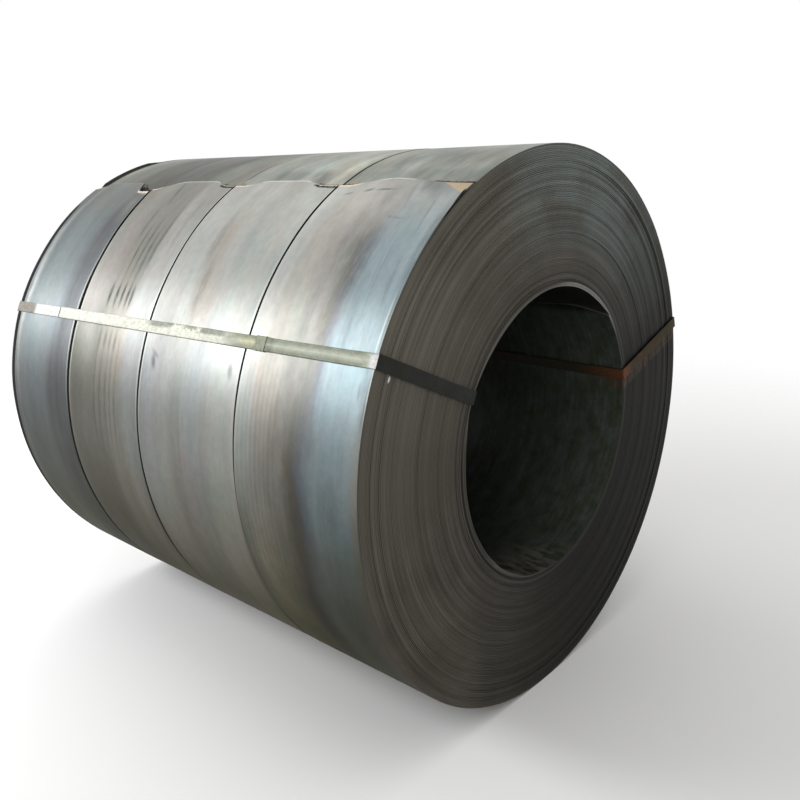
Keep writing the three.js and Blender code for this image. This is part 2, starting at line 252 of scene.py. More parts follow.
class WoundStrip:
    """Mesh of one strip: bore, round face, sprung tail and both ends."""

    def __init__(self, name):
        self.name = name
        self.order = STRIPS.index(name)
        low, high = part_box(name)
        self.near, self.far = low.y, high.y
        self.width = high.y - low.y
        self.is_near = name == STRIPS[-1]
        self.is_far = name == STRIPS[0]
        rng = np.random.default_rng([SEED, self.order])
        self.face_ripple = Ripple(rng, RIPPLE_HEIGHT)
        self.bore_ripple = Ripple(rng, 2 * RIPPLE_HEIGHT)
        slides = edge_slides(np.random.default_rng([SEED, SLIDE_SEED]))
        self.near_slide = slides if self.is_near else self.slit_edge(self.order)
        self.far_slide = LONGEST_SLIDE - slides if self.is_far else self.slit_edge(self.order - 1)
        self.points = []
        self.winds = []
        self.count = 0
        self.quads = {"skin": [], "bore": [], "ends": []}
        self.odd = []

    # -- placing points

    def slit_edge(self, gap):
        """How far an edge lies back from the given gap: worn, or leaning over it."""
        wound = wound_at(np.arange(TAIL_INDEX + 1))
        worn = SLIT_WEAR[gap] * smooth(*WORN_WITHIN, wound)
        past_tail = TAIL_WOUND - wound
        low, high = CLOSED_FROM_TAIL[gap]
        share = smooth(low - CLOSED_FADE, low, past_tail)
        share = share * (1 - smooth(high, high + CLOSED_FADE / 5, past_tail))
        share = np.maximum(share, smooth(*CLOSED_AT_EYE, wound))
        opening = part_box(STRIPS[gap])[0].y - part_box(STRIPS[gap + 1])[1].y
        return worn + share * (CLOSED_OPENING / 2 - opening / 2 - worn)

    def end_edge(self, index, at_near):
        """Where the sheet's edge lies along Y at one end."""
        if at_near:
            return self.near + self.near_slide[index]
        return self.far - self.far_slide[index]

    def lead_slant(self, depth):
        """Degrees by which the lead's cut lies beside the lead angle."""
        return np.interp(depth, *np.transpose(LEAD_SLANT)) if self.is_near else 0.0

    def tail_shape(self, wound, across):
        """Angle and lift of the sprung tail; across runs 0..1 from the near edge."""
        run = np.clip((wound - (TAIL_WOUND - LOOSE_RUN)) / LOOSE_RUN, 0, 1)
        near_drop, far_drop = CORNER_DROPS[self.order]
        middle = smooth(*near_drop, across) * smooth(*far_drop, 1 - across)
        near, mid, far = TAILS[self.order]
        corner = np.where((across < 0.5)[..., None], near, far)
        short, lift = np.moveaxis(corner + (np.array(mid) - corner) * middle[..., None], -1, 0)
        lift = lift * run ** LIFT_POWER
        if self.is_near:
            along = np.radians(TAIL_WOUND - wound) * OUTER_RADIUS
            reach = across * self.width / DOG_EAR[0] + along / DOG_EAR[1]
            lift = lift - DOG_EAR_DROP * np.clip(1 - reach, 0, 1)
        return -short * run ** CUT_POWER, lift

    def add(self, wound, radius, y, slant=0.0):
        """Adds points and returns their numbers."""
        wound, radius, y = np.broadcast_arrays(np.asarray(wound, float), radius, y)
        along = np.radians(TAIL_WOUND - wound) * OUTER_RADIUS
        shift, lift = self.tail_shape(wound, np.clip((y - self.near) / self.width, 0, 1))
        radius = radius + lift
        turn = np.radians(LEAD_ANGLE - wound + slant * self.lead_slant(y - self.near) - shift)
        x = AXIS_X + radius * np.cos(turn)
        z = np.maximum(AXIS_Z + radius * np.sin(turn), 0)
        self.points.append(np.stack([x, y, z], -1).reshape(-1, 3))
        self.winds.append(np.stack([along, y - self.near, radius], -1).reshape(-1, 3))
        numbers = np.arange(self.count, self.count + x.size).reshape(x.shape)
        self.count += x.size
        return numbers

    def strip_of_quads(self, part, first, second, flip=False):
        """Quads between two rows of equally many points."""
        quads = np.stack([first[:-1], first[1:], second[1:], second[:-1]], -1).reshape(-1, 4)
        self.quads[part].append(quads[:, ::-1] if flip else quads)

    def grid(self, part, rows, flip=False):
        """Quads between neighbouring rows."""
        for first, second in zip(rows[:-1], rows[1:]):
            self.strip_of_quads(part, first, second, flip)

    def odd_face(self, corners, flip):
        """A single face, on one of the ends."""
        self.odd.append(corners[::-1] if flip else corners)

    # -- the faces of the sheet

    def columns_across(self, index):
        """Y of the grid's columns from the near to the far edge, for the given turns."""
        middle = np.linspace(MIDDLE_FROM, self.width - MIDDLE_FROM, MIDDLE_COLUMNS)
        plain = np.concatenate([EDGE_COLUMNS, middle, self.width - EDGE_COLUMNS[::-1]])
        near = self.end_edge(index, True)[:, None]
        far = self.end_edge(index, False)[:, None]
        return near + plain + (far - near - self.width) * plain / self.width

    def edge_roll(self, y):
        """The sheet thins a little towards its edges."""
        inside = np.minimum(y - self.near, self.far - y)
        depth, width = THINNED
        return -depth * np.exp(-np.maximum(inside, 0) / width)

    def flare(self, wound, y):
        """How far the far rim stands out on the turn under the tails."""
        if not self.is_far:
            return 0.0
        angle = LEAD_ANGLE + 360 * WHOLE_TURNS - wound
        start, full, fade, end = FLARE_SPAN
        share = smooth(start, full, angle) * (1 - smooth(fade, end, angle))
        return FLARE * share * smooth(FLARE_WIDTH, 0, self.far - LONGEST_SLIDE - y)

    def bore_swell(self, wound, y):
        """The innermost turn bulges inwards a little, most near the floor of the eye."""
        from_bottom = (wound + 360 - LEAD_ANGLE) % 360 - 90
        below = np.exp(-(from_bottom / SWELL_WIDTH) ** 2)
        return self.bore_ripple(wound, y) * (SWELL + SWELL_BELOW * below)

    def sprung_in(self, wound, y):
        """How far a turn has sprung into the mouth of the eye."""
        reach = np.interp((LEAD_ANGLE - wound) % 360, *np.transpose(SPRUNG))
        share = np.where(wound < 360, 1.0, np.where(wound < 720, SECOND_SPRUNG, 0.0))
        return reach * share * smooth(*SPRUNG_DEPTH, y - NEAR_END)

    def rows(self, first, last):
        """Y, degrees of sheet and inner radius of the grid from one column to another."""
        index = np.arange(first, last + 1)
        wound = wound_at(index)[:, None]
        return self.columns_across(index), wound, EYE_RADIUS + SHEET * wound / 360

    def round_face(self):
        """The outside of the outermost turn."""
        y, wound, radius = self.rows(RIM_INDEX, TAIL_INDEX)
        radius = radius + SHEET + self.face_ripple(wound, y)
        self.outer = self.add(wound, radius + self.edge_roll(y) + self.flare(wound, y), y)
        self.grid("skin", self.outer.T, flip=True)

    def tail_underside(self):
        """The inside of the sprung tail."""
        y, wound, radius = self.rows(LIFT_INDEX + 1, TAIL_INDEX)
        under = self.add(wound, radius + self.face_ripple(wound, y) + self.edge_roll(y), y)
        self.under = np.concatenate([self.outer[:1], under])
        self.grid("skin", self.under.T)

    def bore(self):
        """The inside of the innermost turn."""
        y, wound, radius = self.rows(0, PER_TURN)
        radius = radius + self.bore_swell(wound, y) - self.sprung_in(wound, y)
        from_lead = np.minimum(wound, 360 - wound)
        self.inner = self.add(wound, radius, y, np.clip(1 - from_lead / SLANT_FADE, 0, 1))
        self.grid("bore", self.inner.T)

    # -- the ends

    def edge_corners(self, index, at_near):
        """The two rounded corners of the sheet's edge at the given columns."""
        wound = wound_at(index)
        y = self.end_edge(index, at_near)
        base = EYE_RADIUS + SHEET * wound / 360 - self.sprung_in(wound, y)
        base += np.where(index >= RIM_INDEX, self.face_ripple(wound, y), 0)
        base += np.where(index <= PER_TURN, self.bore_swell(wound, y), 0)
        slant = np.where(index < PER_TURN, np.clip(1 - wound / SLANT_FADE, 0, 1), 0)
        return [self.add(wound, base + depth, y, slant)
                for depth in (EDGE_ROUND, SHEET - EDGE_ROUND)]

    def end(self, at_near):
        """One end, with the edge of every turn where it is an outer end of the coil."""
        side = 0 if at_near else -1
        turned = not at_near
        detailed = self.is_near if at_near else self.is_far
        index = np.arange(TAIL_INDEX + 1)
        if not detailed:
            index = index[(index <= PER_TURN) | (index >= RIM_INDEX)]
        seam, low, high, rim = np.full((4, TAIL_INDEX + 1), -1)
        low[index], high[index] = self.edge_corners(index, at_near)
        seam[: PER_TURN + 1] = self.inner[:, side]
        seam[LIFT_INDEX:] = self.under[:, side]
        rim[RIM_INDEX:] = self.outer[:, side]
        if detailed:
            self.seams(seam, at_near)
            self.strip_of_quads("ends", seam, low, turned)
            self.strip_of_quads("ends", low, high, turned)
            self.strip_of_quads(
                "ends", high[: RIM_INDEX + 1], seam[PER_TURN: LIFT_INDEX + 1], turned)
        else:
            self.plain_end(seam, low, high, turned)
        self.strip_of_quads("ends", high[RIM_INDEX:], rim[RIM_INDEX:], turned)
        step = high[0] if detailed else low[PER_TURN]
        self.odd_face([seam[0], low[0], step, seam[PER_TURN]], turned)
        self.odd_face([seam[-1], low[-1], high[-1], rim[-1]], not turned)

    def seams(self, seam, at_near):
        """Bottoms of the open seams between turns; the seam closes towards eye and tail."""
        index = np.arange(PER_TURN + 1, LIFT_INDEX)
        from_ends = np.minimum(index - PER_TURN, LIFT_INDEX - index)
        opened = np.clip(from_ends / SEAM_CLOSES, 0, 1)
        depth = EDGE_ROUND + (GROOVE_DEPTH - EDGE_ROUND) * opened
        edge = self.end_edge(index, at_near)
        below = self.end_edge(index - PER_TURN, at_near)
        y = np.maximum(edge, below) + depth if at_near else np.minimum(edge, below) - depth
        wound = wound_at(index)
        radius = EYE_RADIUS + SHEET * wound / 360 - self.sprung_in(wound, edge)
        seam[index] = self.add(wound, radius, y)

    def plain_end(self, seam, low, high, turned):
        """A flat end that only the neighbouring strip faces."""
        self.strip_of_quads("ends", seam[: PER_TURN + 1], low[: PER_TURN + 1], turned)
        self.strip_of_quads("ends", seam[LIFT_INDEX:], low[LIFT_INDEX:], turned)
        self.strip_of_quads("ends", low[LIFT_INDEX:], high[LIFT_INDEX:], turned)
        for step in range(PER_TURN):
            column = (RIM_INDEX + step) % PER_TURN
            outer = RIM_INDEX + step
            corners = [low[column], low[column + 1], high[outer + 1], high[outer]]
            if column == 0:
                corners.append(low[PER_TURN])
            if step == PER_TURN - 1:
                corners[2:3] = [high[RIM_INDEX], low[LIFT_INDEX], high[LIFT_INDEX]]
            self.odd_face(corners, turned)
        self.odd_face([high[RIM_INDEX], seam[LIFT_INDEX], low[LIFT_INDEX]], turned)

    def build(self):
        self.round_face()
        self.tail_underside()
        self.bore()
        self.end(True)
        self.end(False)
        self.strip_of_quads("ends", self.inner[0], self.inner[PER_TURN])      # the lead's cut
        self.strip_of_quads("ends", self.under[-1], self.outer[-1], True)     # the tail's cut
        return self.to_object()

    def to_object(self):
        """Joins the faces into one closed mesh that keeps the place on the wound sheet."""
        faces = []
        slots = []
        for slot, part in enumerate(self.quads):
            quads = np.concatenate(self.quads[part])
            faces += quads.tolist()
            slots += [slot] * len(quads)
        faces += self.odd
        slots += [list(self.quads).index("ends")] * len(self.odd)
        mesh = bpy.data.meshes.new(self.name + "_wound")
        mesh.from_pydata(np.concatenate(self.points).tolist(), [], faces)
        mesh.polygons.foreach_set("material_index", slots)
        wind = mesh.attributes.new("wind", "FLOAT_VECTOR", "POINT")
        wind.data.foreach_set("vector", np.concatenate(self.winds).astype(np.float32).ravel())
        work = bmesh.new()
        work.from_mesh(mesh)
        return piece_of(mesh, work, SHARP_SHEET)


# ---- straps and seals ------------------------------------------------------------------

SHARP_SHEET = 35                 # degrees from which an edge of a mesh is shaded sharp
SHARP_STRAP = 40
BEVEL_FROM = 1.2                 # radians from which an edge of a strap is rounded
STRAP_PITCH = 14 * MM            # mesh spacing along a strap
STRAP_ROUND = 0.2 * MM           # rounding of its edges
STRAP_WOBBLE = 0.7 * MM          # sideways waver of the rolled strap
STRAP_BUCKLE = 0.12 * MM         # in and out waver over the coil
STRAP_SEED = 200
STRAP_WAVES = 5
STRAP_RATES = (8, 40)            # radians of a wave per metre of strap
STRAP_PHASES = 6.3
BUCKLE_RATE = 1.7                # the in and out waves are this much shorter
SAME_PLACE = 1e-6                # metres within which two points of a mesh are one
SEAL_PITCH = 1.6 * MM
SEAL_ROUND = 0.15 * MM
CRIMP_DEPTH = 2.2 * MM           # how far the notches of a seal bite into its edges
CRIMP_DENT = 0.35 * MM           # and how far the seal is pressed down beside them
CRIMP_PLACES = (0.28, 0.72)      # along the seal
CRIMP_LENGTH = 3 * MM
CRIMP_FROM = 0.55                # share of the seal's half width where a notch begins


ALONG_AXIS = Vector((0, 1, 0))


def piece_of(mesh, work, sharp_from):
    """Takes the worked mesh over and puts it into the scene as an object."""
    bmesh.ops.recalc_face_normals(work, faces=work.faces)
    work.to_mesh(mesh)
    work.free()
    mesh.shade_smooth()
    mesh.set_sharp_from_angle(angle=math.radians(sharp_from))
    piece = bpy.data.objects.new(mesh.name, mesh)
    bpy.context.scene.collection.objects.link(piece)
    return piece


def axes_of(angle):
    """Outward and sideways directions of a strap whose runs lie at this angle."""
    turn = math.radians(angle)
    out = Vector((math.cos(turn), 0, math.sin(turn)))
    side = Vector((-math.sin(turn), 0, math.cos(turn)))
    return out, side


def extent(work, direction):
    """How far a mesh reaches along a direction: its lowest and its highest place."""
    reach = [vertex.co.dot(direction) for vertex in work.verts]
    return min(reach), max(reach)


def cut_finely(work, direction, pitch):
    """Cuts a mesh across a direction at an even pitch."""
    low, high = extent(work, direction)
    for cut in np.arange(low + pitch / 2, high, pitch):
        everything = work.verts[:] + work.edges[:] + work.faces[:]
        bmesh.ops.bisect_plane(
            work, geom=everything, plane_co=direction * cut, plane_no=direction, dist=SAME_PLACE)


def fine_mesh(node, pitch, directions):
    """The mesh of a node of the solid coil, cut finely along some directions."""
    work = bmesh.new()
    work.from_mesh(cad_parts[node].data)
    bmesh.ops.remove_doubles(work, verts=work.verts, dist=SAME_PLACE)
    for direction in directions:
        cut_finely(work, direction, pitch)
    return work


def rounded_piece(node, work, rounding):
    """The shaped mesh as an object, its sharp edges rounded."""
    sharp = [e for e in work.edges if len(e.link_faces) == 2 and e.calc_face_angle() > BEVEL_FROM]
    bmesh.ops.bevel(work, geom=sharp, offset=rounding, segments=2, affect="EDGES", profile=0.6)
    return piece_of(bpy.data.meshes.new(node + "_worn"), work, SHARP_STRAP)


def worn_strap(side_name):
    """A strap with the waver that a rolled and tensioned band has."""
    node = "eye_strap_" + side_name
    out, side = axes_of(STRAPS[side_name][0])
    work = fine_mesh(node, STRAP_PITCH, (ALONG_AXIS, out))
    rng = np.random.default_rng([SEED, STRAP_SEED + len(side_name)])
    waves = [
        (rng.uniform(*STRAP_RATES), rng.uniform(0, STRAP_PHASES)) for _ in range(STRAP_WAVES)]
    for vertex in work.verts:
        along = vertex.co.y + vertex.co.dot(out)
        sway = sum(math.sin(k * along + phase) for k, phase in waves) / len(waves)
        buckle = sum(
            math.sin(BUCKLE_RATE * k * along - phase) for k, phase in waves) / len(waves)
        vertex.co += side * STRAP_WOBBLE * sway
        vertex.co += out * STRAP_BUCKLE * buckle
    return rounded_piece(node, work, STRAP_ROUND)


def crimped_seal(side_name):
    """A seal with the notches that lock it to the strap's edges."""
    node = "strap_seal_" + side_name
    out, side = axes_of(STRAPS[side_name][0])
    work = fine_mesh(node, SEAL_PITCH, (ALONG_AXIS, out, side))
    low, high = extent(work, side)
    middle, half = (low + high) / 2, (high - low) / 2
    low_y, high_y = extent(work, ALONG_AXIS)
    for vertex in work.verts:
        offset = vertex.co.dot(side) - middle
        bite = 0.0
        for place in CRIMP_PLACES:
            away = vertex.co.y - (low_y + place * (high_y - low_y))
            bite += math.exp(-(away / CRIMP_LENGTH) ** 2 * 2)
        bite *= float(smooth(CRIMP_FROM, 1.0, abs(offset) / half))
        vertex.co -= side * math.copysign(CRIMP_DEPTH * bite, offset)
        vertex.co -= out * CRIMP_DENT * bite
    return rounded_piece(node, work, SEAL_ROUND)


# ---- shader nodes written as arithmetic ------------------------------------------------

def put(tree, socket, value):
    """Sets a socket to a constant or links it to a field."""
    if isinstance(value, Field):
        tree.links.new(value.socket, socket)
        return
    size = len(socket.default_value) if hasattr(socket.default_value, "__len__") else 0
    if size and not is_wide(value):
        value = (value,) * size
    elif size == 4 and len(value) == 3:
        value = (*value, 1)
    socket.default_value = value


def add_node(tree, kind, inputs=(), **settings):
    node = tree.nodes.new("ShaderNode" + kind)
    for name, value in settings.items():
        setattr(node, name, value)
    for name, value in dict(inputs).items():
        put(tree, node.inputs[name], value)
    return node


def is_wide(value):
    """Whether a constant or a field is a vector or a colour."""
    if isinstance(value, Field):
        return value.socket.type != "VALUE"
    return hasattr(value, "__len__")


class Field:
    """A number, vector or colour over a surface. Each step on it adds shader nodes."""

    def __init__(self, tree, socket):
        self.tree = tree
        self.socket = socket

    def made(self, kind, inputs, output=0, **settings):
        """The field that a new node makes."""
        return Field(self.tree, add_node(self.tree, kind, inputs, **settings).outputs[output])

    def joined(self, operation, first, second=0.0, output=0):
        """One step of arithmetic, on vectors where either side is one."""
        kind = "VectorMath" if is_wide(first) or is_wide(second) else "Math"
        return self.made(kind, {0: first, 1: second}, output, operation=operation)

    def __add__(self, other):
        return self.joined("ADD", self, other)

    def __sub__(self, other):
        return self.joined("SUBTRACT", self, other)

    def __rsub__(self, other):
        return self.joined("SUBTRACT", other, self)

    def __mul__(self, other):
        return self.joined("MULTIPLY", self, other)

    def __truediv__(self, other):
        return self.joined("DIVIDE", self, other)

    def __abs__(self):
        return self.joined("ABSOLUTE", self)

    def sine(self):
        return self.joined("SINE", self)

    def above(self, limit):
        """1 where it is more than the limit, and 0 elsewhere."""
        return self.joined("GREATER_THAN", self, limit)

    def at_least(self, other):
        return self.joined("MAXIMUM", self, other)

    def at_most(self, other):
        return self.joined("MINIMUM", self, other)

    def dot(self, other):
        return self.joined("DOT_PRODUCT", self, other, "Value")

    def length(self):
        return self.joined("LENGTH", self, output="Value")

    def parts(self):
        node = add_node(self.tree, "SeparateXYZ", {0: self})
        return [Field(self.tree, socket) for socket in node.outputs]

    def noise(self, stretch, detail=4.0, roughness=0.5, shift=0.0):
        """Noise between 0 and 1; stretch is its waves per metre along each direction."""
        moved = self * stretch + (shift, 2.3 * shift, -shift)
        inputs = {"Vector": moved, "Scale": 1.0, "Detail": detail, "Roughness": roughness}
        return self.made("TexNoise", inputs, "Fac")

    def span(self, low, high, to_low=0.0, to_high=1.0):
        """Carried smoothly from low..high to another range."""
        inputs = {"Value": self, "From Min": low, "From Max": high,
                  "To Min": to_low, "To Max": to_high}
        return self.made("MapRange", inputs, interpolation_type="SMOOTHSTEP")

    def fall(self, low, high):
        """1 up to low, falling to 0 at high."""
        return self.span(low, high, 1.0, 0.0)

    def spread(self, to_low, to_high):
        """Noise, most of which lies in 0.3..0.7, carried to another range."""
        return self.span(0.3, 0.7, to_low, to_high)

    def window(self, low, high, soft):
        """1 between low and high, fading to 0 over soft on both sides."""
        return self.span(low - soft, low + soft) * self.fall(high - soft, high + soft)

    def ramp(self, stops):
        """Colours between stops, each a place in 0..1 and a colour."""
        node = add_node(self.tree, "ValToRGB", {0: self})
        elements = node.color_ramp.elements
        while len(elements) < len(stops):
            elements.new(0.5)
        for element, (position, colour) in zip(elements, stops):
            element.position = position
            element.color = (*colour, 1)
        return Field(self.tree, node.outputs[0])

    def banded(self, stops, whole):
        """A ramp over a length in metres, its stops in millimetres."""
        return (self / whole).ramp([(mm * MM / whole, colour) for mm, colour in stops])

    def blend(self, first, second):
        """The first colour where it is 0, the second where it is 1."""
        return self.made("Mix", {0: self, 6: first, 7: second}, 2, data_type="RGBA")

    def stroke(self, start, end, half_width):
        """1 in the middle of a stroke, fading towards its sides and its ends."""
        start, end = Vector(start), Vector(end)
        half_length = (end - start).length / 2 + half_width
        along = (end - start).normalized()
        side = Vector((-along.y, along.x, 0))
        from_middle = self - (start + end) / 2
        away = combined(from_middle.dot(along / half_length), from_middle.dot(side / half_width))
        return away.length().fall(0.2, 1.2)

    def bump(self, strength, distance):
        return self.made("Bump", {"Height": self, "Strength": strength, "Distance": distance})


def combined(*axes):
    """A vector made of its axes; those left out are 0."""
    field = next(axis for axis in axes if isinstance(axis, Field))
    return field.made("CombineXYZ", dict(enumerate(axes)))


class Look:
    """A material in the making, and the places by which it is painted."""

    radius = EYE_RADIUS              # from the axis; a field where a look needs it

    def __init__(self, name):
        self.material = bpy.data.materials.new(name)
        self.material.use_nodes = True
        self.tree = self.material.node_tree
        self.shader = self.tree.nodes["Principled BSDF"]

    def source(self, kind, output, **settings):
        """The field of a node that has no inputs."""
        return Field(self.tree, add_node(self.tree, kind, **settings).outputs[output])

    @cached_property
    def wind(self):
        """Along the sheet from the tail, across it from the near edge, and the radius."""
        return self.source("Attribute", "Vector", attribute_name="wind")

    @cached_property
    def place(self):
        return self.source("TexCoord", "Object")

    @cached_property
    def y(self):
        return self.place.parts()[1]

    @cached_property
    def from_axis(self):
        return self.place - (AXIS_X, 0, AXIS_Z)

    def facing(self, angle, low, high, to_low=0.0, to_high=1.0):
        """How far a place lies towards an angle, 1 there and -1 opposite, as a span."""
        out, _ = axes_of(angle)
        return (self.from_axis.dot(out) / self.radius).span(low, high, to_low, to_high)

    def beside(self, side_name):
        """How far a place lies to the side of a strap's middle line."""
        angle, offset, skew = STRAPS[side_name]
        _, side = axes_of(angle)
        return self.y * (-skew / LENGTH) + (self.from_axis.dot(side) - offset)

    def finish(self, **inputs):
        """Sets the shader's inputs, with _ for the spaces in their names."""
        for name, value in inputs.items():
            put(self.tree, self.shader.inputs[name.replace("_", " ")], value)
        return self.material


# ---- mill scale on the round face ------------------------------------------------------

SILVER = (0.233, 0.242, 0.227)
PALE = (0.265, 0.268, 0.255)
LAVENDER = (0.220, 0.226, 0.231)
WARM = (0.245, 0.238, 0.214)
ROSE = (0.212, 0.202, 0.190)
BRONZE = (0.172, 0.170, 0.152)
BROWN_SILVER = (0.210, 0.211, 0.201)
DIM_SILVER = (0.200, 0.204, 0.203)
UMBER = (0.120, 0.118, 0.103)
DIM_UMBER = (0.096, 0.094, 0.080)
TROUGH = (0.078, 0.080, 0.079)
BROWN_TROUGH = (0.086, 0.078, 0.059)
RIM_BROWN = (0.180, 0.180, 0.165)
PURPLE = (0.130, 0.145, 0.158)
DUSK = (0.136, 0.140, 0.136)
NAVY = (0.102, 0.117, 0.135)
PURPLE_GREY = (0.102, 0.107, 0.113)
DIM_GREY = (0.087, 0.094, 0.099)
SLATE = (0.134, 0.154, 0.163)
TEAL = (0.162, 0.187, 0.188)
BLUE = (0.170, 0.212, 0.226)
CYAN = (0.166, 0.205, 0.221)
PALE_RIM = (0.31, 0.325, 0.31)
FAR_PALE = (0.268, 0.280, 0.268)

# Heat tints across each strip, above and below the left strap, in millimetres from the
# strip's near edge.
HEAT_TINTS = [
    ([(0, PURPLE_GREY), (60, PURPLE_GREY), (115, SLATE), (180, TEAL), (230, TEAL), (280, SLATE),
      (289, DIM_SILVER), (300, FAR_PALE), (308, FAR_PALE), (318, SLATE)],
     [(0, DIM_GREY), (100, DIM_GREY), (150, SLATE), (296, SLATE), (304, DIM_SILVER),
      (312, DIM_SILVER), (322, SLATE)]),
    ([(0, PALE), (78, PALE), (108, ROSE), (122, BRONZE), (225, BRONZE), (262, ROSE),
      (320, ROSE), (350, WARM)],
     [(0, DIM_SILVER), (60, DIM_SILVER), (98, BRONZE), (122, BRONZE), (225, UMBER),
      (265, UMBER), (295, DIM_UMBER), (335, DIM_UMBER), (350, UMBER)]),
    ([(0, SILVER), (90, SILVER), (165, PALE), (235, WARM), (290, PALE)],
     [(0, PALE), (90, SILVER), (165, LAVENDER), (235, BROWN_SILVER), (290, BROWN_SILVER),
      (345, LAVENDER), (375, DIM_SILVER)]),
    ([(122, BLUE), (148, PURPLE), (162, DUSK), (186, BRONZE), (204, ROSE), (235, ROSE),
      (270, WARM), (325, WARM), (345, PALE)],
     [(14, RIM_BROWN), (36, CYAN), (134, CYAN), (166, NAVY), (188, TROUGH),
      (203, BROWN_TROUGH), (220, UMBER), (240, BRONZE), (290, BRONZE), (325, ROSE),
      (350, SILVER)]),
]
TINT_CHANGE = [(156, 172), (149, 163), (149, 163), (157, 180)]    # degrees from upper to lower
BAND_SWAY = 0.035                # metres by which the bands sway, and their borders cloud
BORDER_CLOUD = 0.06

# Casts laid over the scale in patches, from greenish to reddish.
CASTS = [(0.34, (0.95, 1.01, 0.97)), (0.48, (1.0, 1.005, 1.0)), (0.66, (1.06, 0.99, 0.95))]

# Painted shade and painted reflection of a darker, browner floor further down, where the strip
# turns to the ground: what is left of its lightness, and of the green and the blue beside it.
LOW_PLACES = (168, 182, 190, 200, 213, 320, 350)       # in degrees
LOW_GREEN = (1.0, 0.99, 0.97, 0.94, 0.93, 0.93, 1.0)
LOW_LIGHTNESS = [
    (0.92, 0.41, 0.31, 0.26, 0.22, 0.22, 0.9), (1.0, 0.64, 0.48, 0.33, 0.23, 0.22, 0.9),
    (1.0, 0.70, 0.57, 0.41, 0.20, 0.18, 0.9), (1.0, 0.56, 0.36, 0.21, 0.135, 0.135, 0.9),
]
LOW_BLUE = [
    (1.0, 0.93, 0.81, 0.67, 0.48, 0.50, 1.0), (1.0, 0.94, 0.83, 0.69, 0.52, 0.52, 1.0),
    (1.0, 0.95, 0.87, 0.76, 0.54, 0.52, 1.0), (1.0, 0.95, 0.80, 0.64, 0.38, 0.44, 1.0),
]
UNDERSIDE_FROM = (177, 205)               # degrees where the underside begins: rougher, less metallic, painted shadow beside its gaps
UNDERSIDE_UNTIL = (320, 350)
NEAR_TAIL = [                    # tone on the sprung tails: darker as painted shade on the three far strips, lighter as painted light on the near one
    (0.110, 0.114, 0.098), (0.120, 0.116, 0.098), (0.205, 0.204, 0.185), (0.255, 0.255, 0.232),
]
METALLIC = 0.9
LOW_METALLIC = 0.15              # the underside mirrors less
CROWN_FROM = 395                 # degrees where the turn under the tails grows grey
CROWN_PALE = (0.27, 0.287, 0.258)
CROWN_ASH = (0.198, 0.210, 0.190)
CROWN_DUN = (0.108, 0.112, 0.093)
CROWN_DARK = (0.046, 0.049, 0.040)
CROWN_FAR = (0.150, 0.158, 0.136)
CROWN_TINTS = [                  # over the whole crown, in millimetres from the near end
    (400, CROWN_ASH), (415, CROWN_PALE), (500, CROWN_PALE), (620, CROWN_ASH),
    (760, CROWN_ASH), (820, CROWN_DUN), (920, CROWN_DUN), (990, CROWN_DARK),
    (1300, CROWN_DARK), (1370, CROWN_DUN), (1519, CROWN_FAR),
]
CROWN_GREEN = (0.98, 1.03, 1.0)
CROWN_BROWN = (1.05, 0.96, 0.86)
TAIL_SHADE = (471, 474.5)        # degrees over which tails shade the turn below them,
TAIL_SHADED = (2, 3)             # and the strips where they do
